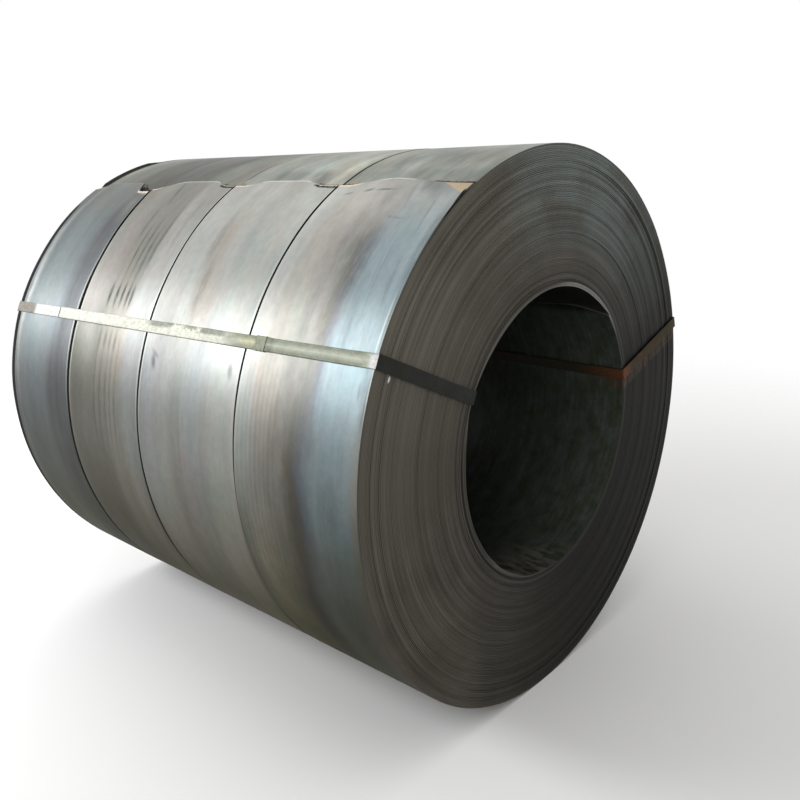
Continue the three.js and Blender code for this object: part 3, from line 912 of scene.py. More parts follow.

# Marks on the sheet, scratches and smudges with some painted highlights and painted shade among
# them: start and end, each as degrees and millimetres from the near edge, half width in
# millimetres, and how much of the light the mark takes.
MARKS = [
    [(156, 100, 182, 104, 10, 0.14), (162, 60, 200, 62, 12, 0.15), (126, 60, 136, 66, 30, 0.14),
     (119.6, 4, 118.8, 36, 9, -1.8), (158, 30, 166, 30, 34, -0.22), (122, 28, 131, 34, 26, -0.4),
     (203, 100, 218, 100, 44, -0.2), (102, 240, 107, 240, 40, 0.25), (104, 305, 113, 305, 22, -0.4),
     (149, 205, 155, 205, 60, 0.13), (178, 302, 188, 302, 28, 0.2)],
    [*[(147.8, v, 153.2, v - 1, 8, 0.72) for v in (225, 192, 164, 139, 119)],
     *[(157, v, 188, v - 3, 7, 0.24) for v in (217, 189, 160, 137, 114)],
     *[(158.5, v, 162.5, v - 1, 9, 0.3) for v in (214, 187, 162, 138)],
     (159, 290, 165.5, 290, 60, -0.24), (103, 305, 110, 305, 34, 0.18),
     (102, 38, 107, 38, 34, -0.22), (158, 38, 165, 38, 30, -0.14), (192, 275, 216, 268, 54, -0.2),
     (119, 100, 138, 104, 30, -0.24), (116, 278, 129, 236, 7, 0.4), (127, 238, 137, 229, 7, 0.36),
     (117, 246, 127, 214, 7, 0.4), (130, 204, 148, 190, 7, 0.42), (129, 174, 148, 163, 8, 0.4),
     (133, 146, 148, 137, 8, 0.42), (126, 120, 147, 113, 9, 0.42), (124, 62, 140, 52, 12, 0.14)],
    [(127, 272, 143, 269, 20, 0.22), (140, 238, 153, 231, 16, 0.16), (112, 275, 117, 270, 24, 0.3),
     (113.5, 132, 117.9, 84, 40, 0.55), (112.5, 210, 116, 190, 40, 0.2),
     (116.0, 386, 117.2, 394, 4, -1.4), (102, 34, 111, 32, 44, -0.24),
     (106, 206, 111, 204, 50, -0.24), (160.5, 353, 161.7, 327, 8, 0.35),
     (161.8, 347, 163.8, 339, 11, 0.55), (160.3, 37, 162.8, 32, 11, 0.38),
     (165, 245, 202, 242, 32, 0.12), (167, 215, 188, 212, 8, 0.12), (126, 150, 146, 140, 26, 0.08),
     (149, 206, 160, 206, 110, 0.15), (155, 380, 163, 380, 26, -0.14)],
    [(121.2, 322, 121.5, 345, 6, 0.4), (120.9, 266, 121.2, 286, 7, 0.6),
     (121.1, 196, 121.3, 256, 5, 0.5), (128.7, 104, 128.3, 164, 5, 0.22),
     (119, 128, 124, 104, 34, -0.14), (131, 87, 153, 82, 5, 0.16), (119, 201, 127, 194, 22, 0.24),
     (119, 270, 128, 264, 40, -0.14), (134, 98, 146, 92, 3, 0.16), (192, 84, 217, 84, 74, 0.3),
     (188, 306, 214, 306, 70, -0.56), (177, 84, 183, 84, 40, 0.2), (163, 262, 176, 262, 26, 0.16),
     (102, 140, 109, 136, 52, 0.38), (109, 50, 114, 50, 34, -0.28), (108, 226, 113, 238, 50, -0.2),
     (116.6, 119, 121, 116, 14, 0.24), (117.5, 124, 120.4, 70, 34, 0.24),
     (147, 105, 156, 105, 7, 0.14), (154, 20, 162, 20, 13, 0.25), (130, 272, 141, 270, 30, 0.12),
     (120, 63, 134, 44, 5, 0.2), (135, 46, 148, 41, 6, 0.18), (118, 151, 126, 127, 7, 0.18),
     (112.6, 106, 116.4, 104, 8, 0.28), (131, 166, 144, 152, 52, 0.32), (119, 8, 146, 10, 17, 0.3),
     (120, 52, 133, 44, 14, -0.1), (146, 66, 153, 62, 44, -0.18), (125, 218, 141, 214, 34, 0.22),
     (158, 6, 168, 6, 16, 0.2), (158.5, 31, 161.5, 30, 5, 0.22)],
]
MARK_WEAR = 4.0                  # shift of the noise that breaks the marks up

TAN = (0.37, 0.285, 0.18)
SLIVER_TINTS = [                 # bare metal on the drawn-down corners of each tail, its lightness partly painted light caught there
    (0.56, 0.48, 0.40), (0.42, 0.39, 0.29), (0.46, 0.38, 0.27), (0.48, 0.37, 0.25),
]
SLIVER = 15 * MM                 # how far that bare metal reaches back along the sheet
CREASED = (1, 2)                 # strips whose near corner has a painted shadow along a crease behind the edge
LIPS = (0.15, 1.0, 1.0, 1.0)     # how much of the pale lip, a painted highlight along the tail's edge, shows
# colour of the painted highlight along a tail's lip
TAIL_LIP_HIGHLIGHT = (0.50, 0.50, 0.46)
BROWN_SHADOW = (0.030, 0.020, 0.012)
HIDDEN_BY_LIFT = 135             # degrees of the turn below that a metre of lift hides
RIM_BLACK = (0.006, 0.006, 0.005)
RIM_DUST = (0.040, 0.034, 0.026)
FAR_RIM = 25 * MM                # blackened far edge of the far strip
RIPPLE_PITCH = 15.5 * MM         # fine rolled lines on the near strip
NEAR_RIM_LINES = [               # degrees, and millimetres to the painted highlight line and the painted shade line
    ((144, 154), 14, 8), ((157.5, 165), 4, 10),
]
NEAR_GAP = (119.5, 129)          # degrees between which the near rim is in black shadow


class MillScale(Look):
    """The oxide on a strip's round face, from the sprung tail round to the turn below it."""

    def __init__(self, strip):
        super().__init__(strip.name + "_scale")
        self.strip = strip
        self.order = strip.order
        self.along, self.across, _ = self.wind.parts()
        self.degrees = self.along * math.degrees(1 / OUTER_RADIUS) + TAIL_ANGLE
        self.edge = self.across.at_most(strip.width - self.across)
        self.torn = self.uneven(30, 90, 3, 0.6, 3)

    def uneven(self, along, across, detail, roughness, shift):
        """Noise of so many waves per metre along and across the sheet."""
        seed = 3 + 7 * self.order
        return self.wind.noise((along, across, 0), detail, roughness, seed + shift)

    def streaks(self):
        """Drawn-out light and dark lines along the sheet, clouds and fine scratches."""
        broad = self.uneven(0.5, 22, 3, 0.5, 0)
        both = self.uneven(1, 150, 3, 0.6, 4) * 0.35 + broad * 0.65
        cloud = self.uneven(2.5, 6, 4, 0.6, 2)
        scratch = self.uneven(5, 700, 2, 0.5, 6).span(0.66, 0.76)
        scratch = scratch * self.uneven(3, 14, 2, 0.5, 8).span(0.5, 0.7) * -0.2 + 1
        mottle = self.uneven(36, 48, 4, 0.7, 16).spread(0.94, 1.06)
        return scratch * both.spread(0.93, 1.07) * cloud.spread(0.92, 1.08) * mottle

    def rolled_lines(self):
        """Evenly spaced lines left by the rolls low on the near strip."""
        swing = (self.across * (2 * math.pi / RIPPLE_PITCH)).sine()
        lined = self.across.window(0.25, 0.385, 0.02) * self.degrees.window(160, 200, 8)
        return swing * lined * 0.07 + 1

    def heat_tint(self):
        """The tint of the scale; its bands sway along the sheet and their borders are cloudy."""
        moved = (self.uneven(1.6, 1, 2, 0.5, 9) - 0.5) * BAND_SWAY + self.across
        moved = (self.uneven(6, 12, 4, 0.6, 10) - 0.5) * BORDER_CLOUD + moved
        above, below = [moved.banded(tints, self.strip.width) for tints in HEAT_TINTS[self.order]]
        colour = self.degrees.span(*TINT_CHANGE[self.order]).blend(above, below)
        return colour * self.uneven(4, 9, 4, 0.65, 14).ramp(CASTS)

    def crown_tint(self):
        """The greyer, mottled scale of the turn under the tails."""
        colour = (self.across + (self.strip.near - NEAR_END)).banded(CROWN_TINTS, LENGTH)
        brown = self.uneven(3, 7, 4, 0.6, 15).span(0.40, 0.62)
        shade = self.uneven(7, 45, 4, 0.65, 11).spread(0.88, 1.12)
        shade = shade * self.uneven(5, 13, 4, 0.6, 12).spread(0.78, 1.2)
        shade = shade * self.uneven(26, 60, 4, 0.7, 17).spread(0.92, 1.08)
        return colour * brown.blend(CROWN_GREEN, CROWN_BROWN) * shade

    def find_tail(self):
        """Degrees past the tail's edge as seen on the turn below, and 1 in its corners."""
        near, middle, far = [
            short - HIDDEN_BY_LIFT * lift for short, lift in TAILS[self.order]]
        share = self.across / self.strip.width
        near_drop, far_drop = CORNER_DROPS[self.order]
        self.near_corner = share.fall(*near_drop)
        self.in_corner = self.near_corner.at_least((1 - share).fall(*far_drop))
        corner = share.above(0.5) * (far - near) + (near - middle)
        self.past_tail = TAIL_ANGLE + 360 - self.degrees + (self.in_corner * corner + middle)

    def marks(self):
        """The light that scratches and smudges leave, and strokes of painted highlight and painted
        shade.
        """
        millimetres = OUTER_RADIUS * math.radians(1) / MM      # along the sheet for one degree
        point = combined(self.degrees * millimetres, self.across / MM)
        left = 1.0
        for angle, near, end_angle, far, half_width, taken in MARKS[self.order]:
            turned = 360 if angle < TAIL_ANGLE - 1 else 0      # on the turn under the tails
            start = ((angle + turned) * millimetres, near, 0)
            end = ((end_angle + turned) * millimetres, far, 0)
            left = (point.stroke(start, end, half_width) * -taken + 1) * left
        worn = self.wind.noise((25, 130, 0), 3, 0.6, MARK_WEAR).span(0.32, 0.55, 0.55, 1.1)
        return (left - 1) * worn + 1

    def torn_tail(self, colour):
        """Bare corners of the tail, partly painted light, its pale lip as a painted highlight, and
        painted shadow under it.
        """
        strip, torn, in_corner = self.strip, self.torn, self.in_corner
        ragged = torn * -1.2 + (self.past_tail + 0.6)
        reach = in_corner.span(0.3, 0.8, -0.3, 0.8)
        shadow = ragged.span(-0.6, -0.3) * (ragged - reach).fall(-0.15, 0.15)
        back = torn * (12 * MM) + self.along
        wedge = in_corner.span(0.45, 0.95, 0, SLIVER)
        if strip.is_far:
            wedge = wedge * (self.near_corner * 0.7 + 1)
        if self.order in CREASED:
            creased = self.near_corner.span(0.5, 0.8)
            wedge = creased * (-6 * MM) + wedge
            # painted shadow along the crease behind the near corner
            crease = back.window(10 * MM, 19 * MM, 2 * MM) * torn.span(0.35, 0.5, 0.5, 1)
            shadow = (shadow * (creased * -0.8 + 1)).at_least(creased * crease)
        colour = shadow.blend(colour, BROWN_SHADOW)
        sliver = (back - wedge).fall(-2.5 * MM, 1.5 * MM)
        sliver = sliver * in_corner.span(0.5, 0.6) * torn.span(0.35, 0.5, 0.4, 1)
        if strip.is_near:
            sliver = sliver * self.near_corner.fall(0, 0.2)
        colour = sliver.blend(colour, SLIVER_TINTS[self.order])
        lip = self.along.span(2 * MM, 5 * MM, 0.6, 0) * in_corner.fall(0.1, 0.4)
        lip = lip * torn.span(0.3, 0.5, 0.2, 1) * LIPS[self.order]
        return lip.blend(colour, TAIL_LIP_HIGHLIGHT), shadow

    def near_rim(self, colour):
        """A painted highlight line and a painted shade line close to the coil's near rim, darker at
        the rim itself.
        """
        across = self.across
        for degrees, pale_at, dark_at in NEAR_RIM_LINES:
            there = self.degrees.window(*degrees, 3)
            pale = across.window((pale_at - 2) * MM, (pale_at + 2) * MM, MM)
            dark = across.window((dark_at - 1.5) * MM, (dark_at + 1.5) * MM, MM)
            rim = across.span(9 * MM, 13 * MM, 0.3, 0)
            colour = (there * rim.at_least(dark * 0.65)).blend(colour, UMBER)
            colour = (there * pale * 0.75).blend(colour, PALE_RIM)
        return colour

    def near_gap(self):
        """1 in the gap under the last tail's near corner, painted black as its shadow."""
        reach = self.degrees.span(*NEAR_GAP, 8 * MM, 0)
        gap = (self.across - reach).fall(-2 * MM, 1 * MM) * reach.span(0, 2 * MM)
        return gap * self.degrees.span(NEAR_GAP[0], NEAR_GAP[0] + 1)

    def far_rim(self):
        """1 on the blackened far edge."""
        inner = self.strip.width - FAR_RIM
        return self.across.span(inner - MM, inner + MM) * self.degrees.span(125, 129) * 0.95

    def dog_ear(self, colour):
        """A grainy tan stain on the bent near corner of the last tail, lighter there as painted
        light on the bend.
        """
        reach = self.across / DOG_EAR[0] + self.along / DOG_EAR[1]
        return (reach.fall(0.96, 1.06) * self.torn.span(0.25, 0.5, 0.35, 1)).blend(colour, TAN)

    def shaded_low(self, colour):
        """Painted shade and painted reflection of a darker, browner floor towards the ground, and
        painted shadow beside the gaps there.
        """
        rows = zip(LOW_PLACES, LOW_LIGHTNESS[self.order], LOW_GREEN, LOW_BLUE[self.order])
        stops = [(place / 360, (left, green * left, blue * left))
                 for place, left, green, blue in rows]
        # painted shadow beside the gaps on the underside
        beside = self.underside_mask * self.edge.span(0, 16 * MM, 0.35, 0)
        return colour * (self.degrees / 360).ramp(stops) * (1 - beside)

    def pale_edges(self, colour):
        """Painted highlights on the slit edges, and a painted highlight line a little in from them.
        """
        pale = self.edge.span(2 * MM, 5 * MM, 0.5, 0) * self.degrees.fall(165, 190)
        line = self.edge.window(4.5 * MM, 8 * MM, 1.5 * MM) * self.degrees.window(138, 176, 8)
        if self.strip.is_near:
            line = line * self.across.span(0.04, 0.1)
        return pale.at_least(line * 0.7).blend(colour, PALE_RIM)

    def scale(self):
        """The sheet's colour without what its torn tail adds."""
        near, degrees = self.strip.is_near, self.degrees
        # painted shade on the far strips' tails and painted light on the near one
        near_tail_light_and_shade = degrees.span(TAIL_ANGLE + 3, TAIL_ANGLE + 19, 0.6, 0)
        colour = near_tail_light_and_shade.blend(self.heat_tint(), NEAR_TAIL[self.order]) * self.streaks()
        if near:
            colour = self.near_rim(colour * self.rolled_lines())
        colour = self.shaded_low(self.pale_edges(colour))
        if near:
            worn = self.across.fall(0.02, 0.1) * degrees.span(186, 204) * 0.8
            colour = worn.blend(colour, RIM_DUST)
        crown = degrees.window(CROWN_FROM, TAIL_ANGLE + 365, 6)
        colour = crown.blend(colour, self.crown_tint())
        if self.order in TAIL_SHADED:
            colour = colour * degrees.span(*TAIL_SHADE, 1, 0.8)
        return colour * self.marks()

    def painted(self):
        """The finished material."""
        self.underside_mask = self.degrees.span(*UNDERSIDE_FROM) * self.degrees.fall(*UNDERSIDE_UNTIL)
        self.find_tail()
        colour, shadow = self.torn_tail(self.scale())
        black = []
        if self.strip.is_near:
            colour = self.dog_ear(colour)
            black.append(self.near_gap())
        if self.strip.is_far:
            black.append(self.far_rim())
        for dark in black:
            colour = dark.blend(colour, RIM_BLACK)
            shadow = shadow.at_least(dark)
        grain = self.uneven(500, 700, 3, 0.6, 0)
        rough = self.uneven(2.5, 6, 4, 0.6, 2).spread(0.46, 0.37) + self.underside_mask * 0.3
        return self.finish(
            Base_Color=colour, Roughness=(grain * 0.05 + rough + shadow).at_most(1),
            Metallic=self.underside_mask.span(0, 1, METALLIC, LOW_METALLIC) * (1 - shadow),
            Normal=grain.bump(0.12, 0.0004), Specular_IOR_Level=0.2)


# ---- the turn ends ---------------------------------------------------------------------

END_BROWN = (0.078, 0.071, 0.057)
END_BLUE = (0.089, 0.101, 0.095)
END_OLIVE = (0.080, 0.072, 0.041)
END_RUST = (0.12, 0.07, 0.042)
# colour of the painted highlights on the eye's lip
EYE_LIP_HIGHLIGHT = (0.24, 0.24, 0.215)
# black of the painted shadows in the eye's lip and beside the right strap
SHADOW_BLACK = (0.012, 0.012, 0.011)
SPOT_WHITE = (0.75, 0.75, 0.72)
SPOT_AT = (673 * MM, 157.0)      # radius and angle of a small bright spot below the left strap
SPOT_REACH = (2.5, 5.0, 0.0)     # millimetres from its middle to its end
SPOT_HALF_WIDTH = 3.2
DARK_SIDE = 0.06                 # lightness of the face's low right part, and of the rest
LIGHT_SIDE = 1.1
LIGHT_ANGLE = 146                # the way the face is lightest, and where its bluish painted sheen lies
BLUE_ANGLE = 66
LINED_ANGLE = 228                # the way its dark lines are strongest
LINE_BEND = 12 * MM              # by which they waver there
LIP_DEPTH = (0.18, 0.38)         # into the eye, where the painted highlight on the lead's cut edge fades out
# Further light and shade on the face: an angle, how far towards it this starts and is
# full, and the lightness there.
FACE_SHADES = [
    (15, 0.80, 0.966, 0.82), (15, 0.972, 0.996, 0.68), (326, 0.86, 0.98, 0.66),
    (151, 0.93, 0.99, 1.12),
]


def beside_strap(look, side_name, low, high):
    """1 at the given distance to the side of a strap's run on the face."""
    out, _ = axes_of(STRAPS[side_name][0])
    reach = look.from_axis.dot(out)
    return look.beside(side_name).window(low, high, 1.5 * MM) * reach.span(0.3, 0.37)


def eye_lip(look, colour):
    """Painted highlights on the edges of the innermost turns, broad at the upper right and double
    below, with painted shadow in the grooves beside them and on the left.
    """
    deep = look.y.fall(NEAR_END + LIP_DEPTH[0], NEAR_END + LIP_DEPTH[1])
    seen = deep.at_least(look.y.above(FAR_END - 0.02))
    high = look.facing(62, 0.84, 0.98)
    upper = look.facing(85, -0.2, 0.3)
    right = look.facing(-14, 0.84, 0.97)
    left = look.facing(195, 0.8, 0.97)
    inset = upper * (-4 * MM) + (look.radius - EYE_RADIUS) + high * (-4 * MM)
    first = inset.fall(-1 * MM, 2 * MM) * right.span(0, 1, 1, 0.1)
    tone = (high * 0.45 + 0.14) * left.fall(0, 1) * seen
    colour = (first * tone).blend(colour, EYE_LIP_HIGHLIGHT)
    colour = (first * left * 0.35).blend(colour, SHADOW_BLACK)
    groove = inset.window(2.5 * MM, 9.5 * MM, 1.2 * MM) * upper.span(0, 1, 1, 0.6)
    groove = groove * high.span(0, 1, 1, 1.5) * right.span(0, 1, 1, 0.6)
    colour = groove.blend(colour, SHADOW_BLACK)
    colour = (inset.window(12 * MM, 19 * MM, 3 * MM) * 0.08).blend(colour, EYE_LIP_HIGHLIGHT)
    outer = inset.window(22 * MM, 28 * MM, 3 * MM) * right.span(0, 1, 0.6, 0)
    return outer.blend(colour, SHADOW_BLACK)


def turn_shade(look, cloud):
    """Lighter and darker turns and groups of turns, and the light over the whole face."""
    wave = look.place.noise(13, 2, 0.5, 14) - 0.5
    bend = wave * look.facing(LINED_ANGLE, 0.5, 0.9, 0, LINE_BEND)
    bent = look.wind + combined(0, 0, bend)
    shade = bent.noise((0.3, 0, 70), 3, 0.55, 5).spread(0.85, 1.15)
    shade = shade * bent.noise((0.6, 0, 22), 2, 0.5, 12).spread(0.86, 1.14)
    shade = shade * look.wind.noise((6, 0, 300), 2, 0.5, 2).spread(0.9, 1.1)
    shade = shade * cloud.spread(0.86, 1.14)
    lively = look.facing(BLUE_ANGLE, -0.4, 0.7, 0.24, 1).at_least(
        look.facing(LINED_ANGLE, 0.6, 0.93, 0, 1.2))
    shade = (shade - 1) * lively + 1
    shade = shade * look.facing(LIGHT_ANGLE, -0.95, 0.4, DARK_SIDE, LIGHT_SIDE)
    for angle, start, full, lightness in FACE_SHADES:
        shade = shade * look.facing(angle, start, full, 1, lightness)
    shade = shade * (1 - look.facing(212, 0.93, 0.99, 0, 0.2) * look.radius.span(0.5, 0.68))
    return shade * look.radius.span(EYE_RADIUS, 0.68, 0.79, 1.13)


def turn_tint(look, cloud):
    """Brown, with a bluish painted sheen at the upper right, olive towards the floor on the right,
    rusty at the lower left.
    """
    # bluish painted sheen towards the upper right
    bluish = look.facing(BLUE_ANGLE, 0.6, 1) * look.radius.span(0.42, 0.56)
    colour = (bluish * cloud.span(0.3, 0.55)).blend(END_BROWN, END_BLUE)
    colour = look.facing(LIGHT_ANGLE, -0.95, -0.3, 1, 0).blend(colour, END_OLIVE)
    x, _, z = look.place.parts()
    rusty = x.window(-0.7, -0.38, 0.08) * z.window(0, 0.34, 0.08) * 0.55
    rusty = rusty * look.wind.noise((3, 0, 60), 3, 0.6, 8).span(0.5, 0.68)
    return rusty.blend(colour, END_RUST)


def bright_spot(look):
    """1 on a small bright spot on the near face."""
    out, _ = axes_of(SPOT_AT[1])
    middle = Vector((out.x, out.z, 0)) * SPOT_AT[0] / MM
    aside, _, up = (look.from_axis * (1 / MM)).parts()
    reach = Vector(SPOT_REACH)
    return combined(aside, up).stroke(middle - reach, middle + reach, SPOT_HALF_WIDTH)


def turn_ends(strip):
    """Slit edges of the turns."""
    look = Look(strip.name + "_turn_ends")
    along, _, look.radius = look.wind.parts()
    cloud = look.place.noise(4.5, 5, 0.6, 1)
    colour = eye_lip(look, turn_tint(look, cloud) * turn_shade(look, cloud))
    colour = along.span(4.4, 4.5, 0.6, 0).blend(colour, END_BROWN)      # the last turn
    # painted shadow of the gap under the last tail's near corner, on the outermost turn's end
    if strip.is_near:
        colour = along.window(0.03, 0.13, 0.02).blend(colour, RIM_BLACK)
    # painted shadow along the upper edge of the right strap
    above = beside_strap(look, "right", 16.5 * MM, 19.5 * MM)
    colour = (above * 0.9).blend(colour, SHADOW_BLACK)
    below = beside_strap(look, "right", -50 * MM, -14 * MM)
    streaky = look.place.noise((90, 90, 12), 3, 0.6, 7).span(0.35, 0.65)
    colour = (below * streaky * 0.4).blend(colour, END_RUST)
    if strip.is_near:
        colour = bright_spot(look).blend(colour, SPOT_WHITE)
    grain = look.place.noise(600, 3, 0.6)
    return look.finish(
        Base_Color=colour, Roughness=grain.spread(0.5, 0.64), Metallic=0.8,
        Normal=grain.bump(0.2, 0.0004), Specular_IOR_Level=0.3)


BORE_TINTS = [
    (0.3, (0.014, 0.021, 0.015)), (0.45, (0.026, 0.030, 0.020)), (0.6, (0.034, 0.040, 0.036)),
    (0.75, (0.052, 0.054, 0.046)),
]
BORE_DIRT = (0.20, 0.18, 0.145)


def bore_scale(strip):
    """The dark oxide of the eye, with painted light on the right, painted shade at the top and
    deeper in, and dirt at the bottom of its mouth.
    """
    look = Look(strip.name + "_bore")
    colour = look.wind.noise((9, 26, 0), 5, 0.7, 3).ramp(BORE_TINTS)
    shade = look.wind.noise((2, 120, 0), 3).spread(0.86, 1.14)
    # painted light on the right side of the eye, painted shade at its top
    shade = shade * look.facing(-16, -0.2, 1, 0.35, 2.6) * look.facing(90, 0.70, 0.75, 1, 0.3)
    into = look.y - NEAR_END
    # painted shade deeper into the eye
    colour = colour * (shade * into.span(0.08, 0.5, 1, 0.3))
    stain = look.beside("right").window(-0.05, 0.012, 0.012) * into.span(0, 0.16, 0.6, 0)
    stain = stain * look.place.noise((60, 60, 20), 3, 0.6, 9).span(0.42, 0.6)
    colour = stain.blend(colour, ORANGE_RUST)
    dirt = look.facing(262, 0.86, 0.97) * into.span(0.03, 0.22, 0.6, 0)
    dirt = dirt * look.place.noise((30, 12, 30), 5, 0.7, 5).span(0.42, 0.6)
    colour = dirt.blend(colour, BORE_DIRT)
    grain = look.place.noise(300, 3, 0.6)
    return look.finish(
        Base_Color=colour, Roughness=grain.spread(0.4, 0.55), Metallic=0.6,
        Normal=grain.bump(0.2, 0.0005), Specular_IOR_Level=0.3)


# ---- strap paint -----------------------------------------------------------------------

CREAM = (0.64, 0.64, 0.54)
GREEN_CREAM = (0.36, 0.38, 0.29)
OLIVE = (0.17, 0.19, 0.14)
YELLOWISH = (0.42, 0.41, 0.24)
CHARCOAL = (0.013, 0.013, 0.010)
BARE_WHITE = (0.64, 0.64, 0.62)
LAP_BROWN = (0.19, 0.165, 0.13)
EDGE_DARK = (0.03, 0.03, 0.02)
ORANGE_RUST = (0.11, 0.036, 0.012)
OLIVE_RUST = (0.026, 0.020, 0.007)
DULL_TAN = (0.046, 0.036, 0.014)
NEAR_LAP = 1256 * MM             # from the near end to the end of the strap's upper layer
STRAP_HALF = 16 * MM

# Paint along the left strap over the coil, in millimetres from the near end.
LEFT_PAINT = [
    (14, BARE_WHITE), (26, GREEN_CREAM), (300, GREEN_CREAM), (332, OLIVE), (366, OLIVE),
    (372, YELLOWISH), (400, YELLOWISH), (450, GREEN_CREAM), (510, CREAM), (1250, CREAM),
    (1262, BARE_WHITE), (1400, BARE_WHITE), (1415, LAP_BROWN),
]


def left_outer_paint(offset, from_near, patches, flakes):
    """Paint of the left strap's run over the round face, with painted shadow along its lower edge
    and at the end of the lap.
    """
    colour = from_near.banded(LEFT_PAINT, LENGTH)
    chipped = offset.fall(-6 * MM, 1 * MM) * from_near.window(0.47, 0.80, 0.03)
    colour = (chipped * patches.span(0.44, 0.54) * 0.8).blend(colour, OLIVE)
    away = abs(offset)
    rubbed = flakes * (10 * MM) + away
    near_part = from_near.window(0.03, 0.44, 0.02)
    colour = (rubbed.span(8 * MM, 16 * MM, 0, 0.75) * near_part).blend(colour, OLIVE)
    colour = (rubbed.span(4 * MM, 9 * MM, 0.45, 0) * near_part).blend(colour, CREAM)
    # dark paint at both edges, darker along the lower one as its painted shadow
    edge = away.span(STRAP_HALF - 3 * MM, STRAP_HALF - 0.5 * MM)
    edge = edge * offset.span(-STRAP_HALF, STRAP_HALF, 0.35, 0.8)
    colour = edge.blend(colour, EDGE_DARK)
    # a thin painted shadow where the strap's upper layer ends
    lap = from_near.window(NEAR_LAP - 2.5 * MM, NEAR_LAP + 2.5 * MM, MM)
    return lap.blend(colour, EDGE_DARK)


def right_rust(look, from_near, patches):
    """Rust of the right strap on the face and in the eye, darker deeper in the eye as painted
    shade.
    """
    face = patches.span(0.46, 0.66, 0, 0.5).blend(OLIVE_RUST, ORANGE_RUST)
    face = look.radius.span(0.67, 0.72).blend(face, DULL_TAN)
    lip = look.radius.span(EYE_RADIUS + 0.01, EYE_RADIUS + 0.06, 0.9, 0)
    inside = from_near.span(0, 0.16).blend(ORANGE_RUST, OLIVE_RUST)
    # darker deeper in the eye, as painted shade
    return lip.blend(face, ORANGE_RUST), inside * from_near.span(0, 0.6, 0.8, 0.3)


def strap_paint(side_name):
    """Worn paint on a strap: pale over the coil, near black or rusty on the face."""
    look = Look("strap_paint_" + side_name)
    look.radius = (look.from_axis * (1, 0, 1)).length()
    from_near = look.y - NEAR_END
    patches = look.place.noise((18, 14, 18), 5, 0.7, 2)
    flakes = look.place.noise((130, 60, 130), 4, 0.7, 6)
    if side_name == "left":
        outer = left_outer_paint(look.beside(side_name), from_near, patches, flakes)
        face = patches.span(0.56, 0.7, 0, 0.8).blend(CHARCOAL, OLIVE_RUST)
        inside = CHARCOAL
    else:
        outer = patches.span(0.45, 0.6).blend(OLIVE, LAP_BROWN)
        face, inside = right_rust(look, from_near, patches)
    on_face = abs(look.y).span(FAR_END - MM, FAR_END)
    in_eye = look.radius.fall(EYE_RADIUS + MM, EYE_RADIUS + 5 * MM)
    colour = in_eye.blend(on_face.blend(outer, face), inside)
    return look.finish(
        Base_Color=colour * flakes.spread(0.74, 1.16), Metallic=0.0,
        Roughness=on_face.at_least(in_eye) * 0.3 + patches.spread(0.42, 0.56),
        Normal=flakes.bump(0.3, 0.0005), Specular_IOR_Level=0.25)


SEAL_OLIVE = (0.075, 0.080, 0.052)
SEAL_WORN = (0.20, 0.21, 0.14)


def seal_steel(side_name):
    """Olive paint of a seal, rubbed bare in patches."""
    look = Look("seal_steel_" + side_name)
    patches = look.place.noise(60, 4, 0.6, 3)
    return look.finish(
        Base_Color=patches.span(0.4, 0.65).blend(SEAL_OLIVE, SEAL_WORN), Metallic=0.3,
        Roughness=patches.spread(0.4, 0.6), Normal=patches.bump(0.3, 0.0005))


# ---- putting the object together -------------------------------------------------------

def dress(piece, node, slot, *materials):
    for material in materials:
        piece.data.materials.append(material)
    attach(piece, "root")
    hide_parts(node)


for name in STRIPS:
    strip = WoundStrip(name)
    piece = strip.build()
    scale = MillScale(strip).painted()
    dress(piece, name, "coil_steel", scale, bore_scale(strip), turn_ends(strip))

for side_name in STRAPS:
    dress(worn_strap(side_name), "eye_strap_" + side_name, "strap_paint", strap_paint(side_name))
    dress(crimped_seal(side_name), "strap_seal_" + side_name, "seal_steel", seal_steel(side_name))


# ---- floor, light and camera -----------------------------------------------------------

FLOOR_TONE = (0.9, 0.895, 0.885)
FLOOR_SOLID = 1.5                # the floor fades into the white surroundings from here
FLOOR_GONE = 4.6
DIFFUSE_WORLD = 0.72             # light of the surroundings on matt surfaces
KEY_TINT = (0.985, 1.003, 1.022)
KEY_ROLL = 7.0                   # degrees by which the key lamp's far end hangs lower

CAMERA_AT = (-1.7986, -1.8435, 1.3769)
CAMERA_HEADING = 48.02           # degrees from +Y towards +X
CAMERA_PITCH = -15.13
CAMERA_ROLL = -1.09
CAMERA_LENS = 37.54
CAMERA_SENSOR = 36
CAMERA_CLIP = 0.05


def add_floor():
    bpy.ops.mesh.primitive_circle_add(vertices=96, radius=FLOOR_GONE + 1, fill_type="NGON")
    floor = bpy.context.object
    floor.name = "studio_floor"
    look = Look("pale_floor")
    floor.data.materials.append(look.finish(
        Base_Color=FLOOR_TONE, Roughness=0.9,
        Alpha=look.place.length().fall(FLOOR_SOLID, FLOOR_GONE)))


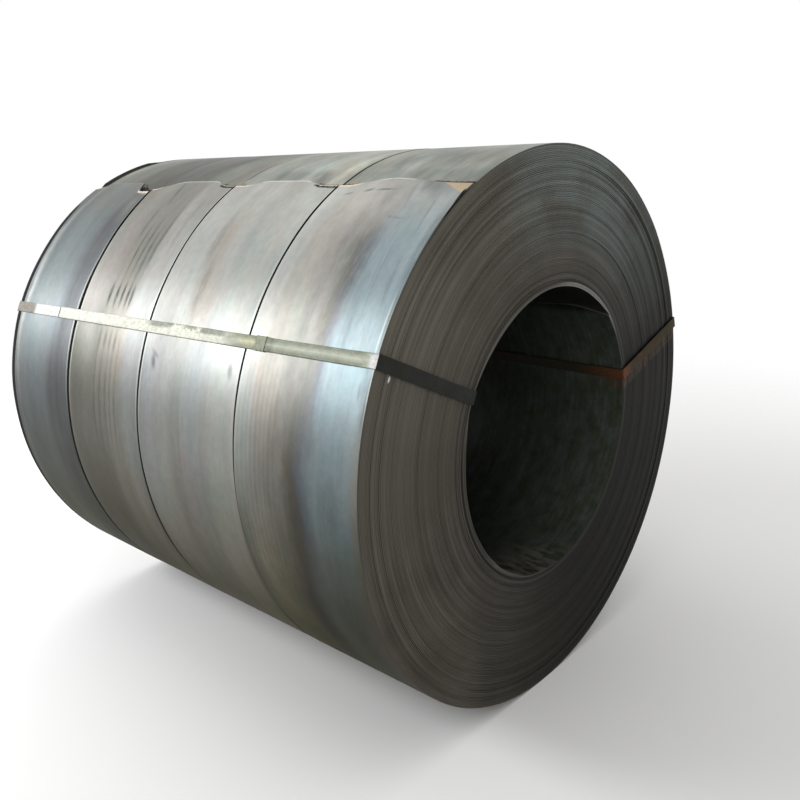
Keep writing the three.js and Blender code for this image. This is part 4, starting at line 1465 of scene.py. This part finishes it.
def light_surroundings():
    """White where it is seen or mirrored, dimmer as a light on matt surfaces."""
    world = bpy.data.worlds.new("studio")
    bpy.context.scene.world = world
    world.use_nodes = True
    tree = world.node_tree
    path = add_node(tree, "LightPath")
    seen = Field(tree, path.outputs["Is Camera Ray"])
    for ray in ("Is Glossy Ray", "Is Transmission Ray"):
        seen = seen.at_least(Field(tree, path.outputs[ray]))
    background = tree.nodes["Background"]
    put(tree, background.inputs["Color"], (1, 1, 1))
    put(tree, background.inputs["Strength"], seen * (1 - DIFFUSE_WORLD) + DIFFUSE_WORLD)


def add_softbox(name, at, aim, width, height, radiance, tint=(1, 1, 1), roll=0.0):
    lamp = bpy.data.lights.new(name, "AREA")
    lamp.shape = "RECTANGLE"
    lamp.size, lamp.size_y = width, height
    lamp.energy = radiance * math.pi * width * height
    lamp.color = tint
    box = bpy.data.objects.new(name, lamp)
    box.location = at
    box.rotation_mode = "QUATERNION"
    facing = (Vector(aim) - Vector(at)).to_track_quat("-Z", "Y")
    box.rotation_quaternion = facing @ Quaternion((0, 0, 1), math.radians(roll))
    box.visible_camera = False
    bpy.context.scene.collection.objects.link(box)


def add_camera():
    data = bpy.data.cameras.new("camera")
    data.lens = CAMERA_LENS
    data.sensor_width = CAMERA_SENSOR
    data.clip_start = CAMERA_CLIP
    camera = bpy.data.objects.new("camera", data)
    heading = Matrix.Rotation(math.radians(-CAMERA_HEADING), 4, "Z")
    pitch = Matrix.Rotation(math.radians(90 + CAMERA_PITCH), 4, "X")
    roll = Matrix.Rotation(math.radians(CAMERA_ROLL), 4, "Z")
    camera.matrix_world = Matrix.Translation(CAMERA_AT) @ heading @ pitch @ roll
    bpy.context.scene.collection.objects.link(camera)
    bpy.context.scene.camera = camera


add_floor()
light_surroundings()
add_softbox("key", (-3.17, 3.6, 2.45), (-0.65, 3.6, 1.03), 5.2, 1.5, 8.4, KEY_TINT, KEY_ROLL)
add_softbox("crown", (-0.2, 2.5, 4.3), (-0.3, -0.3, 1.4), 3.0, 1.4, 2.1)
add_softbox("overhead", (-0.5, -1.0, 4.2), (0, 0, 0.7), 3.0, 2.5, 0.6)
add_camera()

bpy.context.scene.view_settings.view_transform = "Standard"
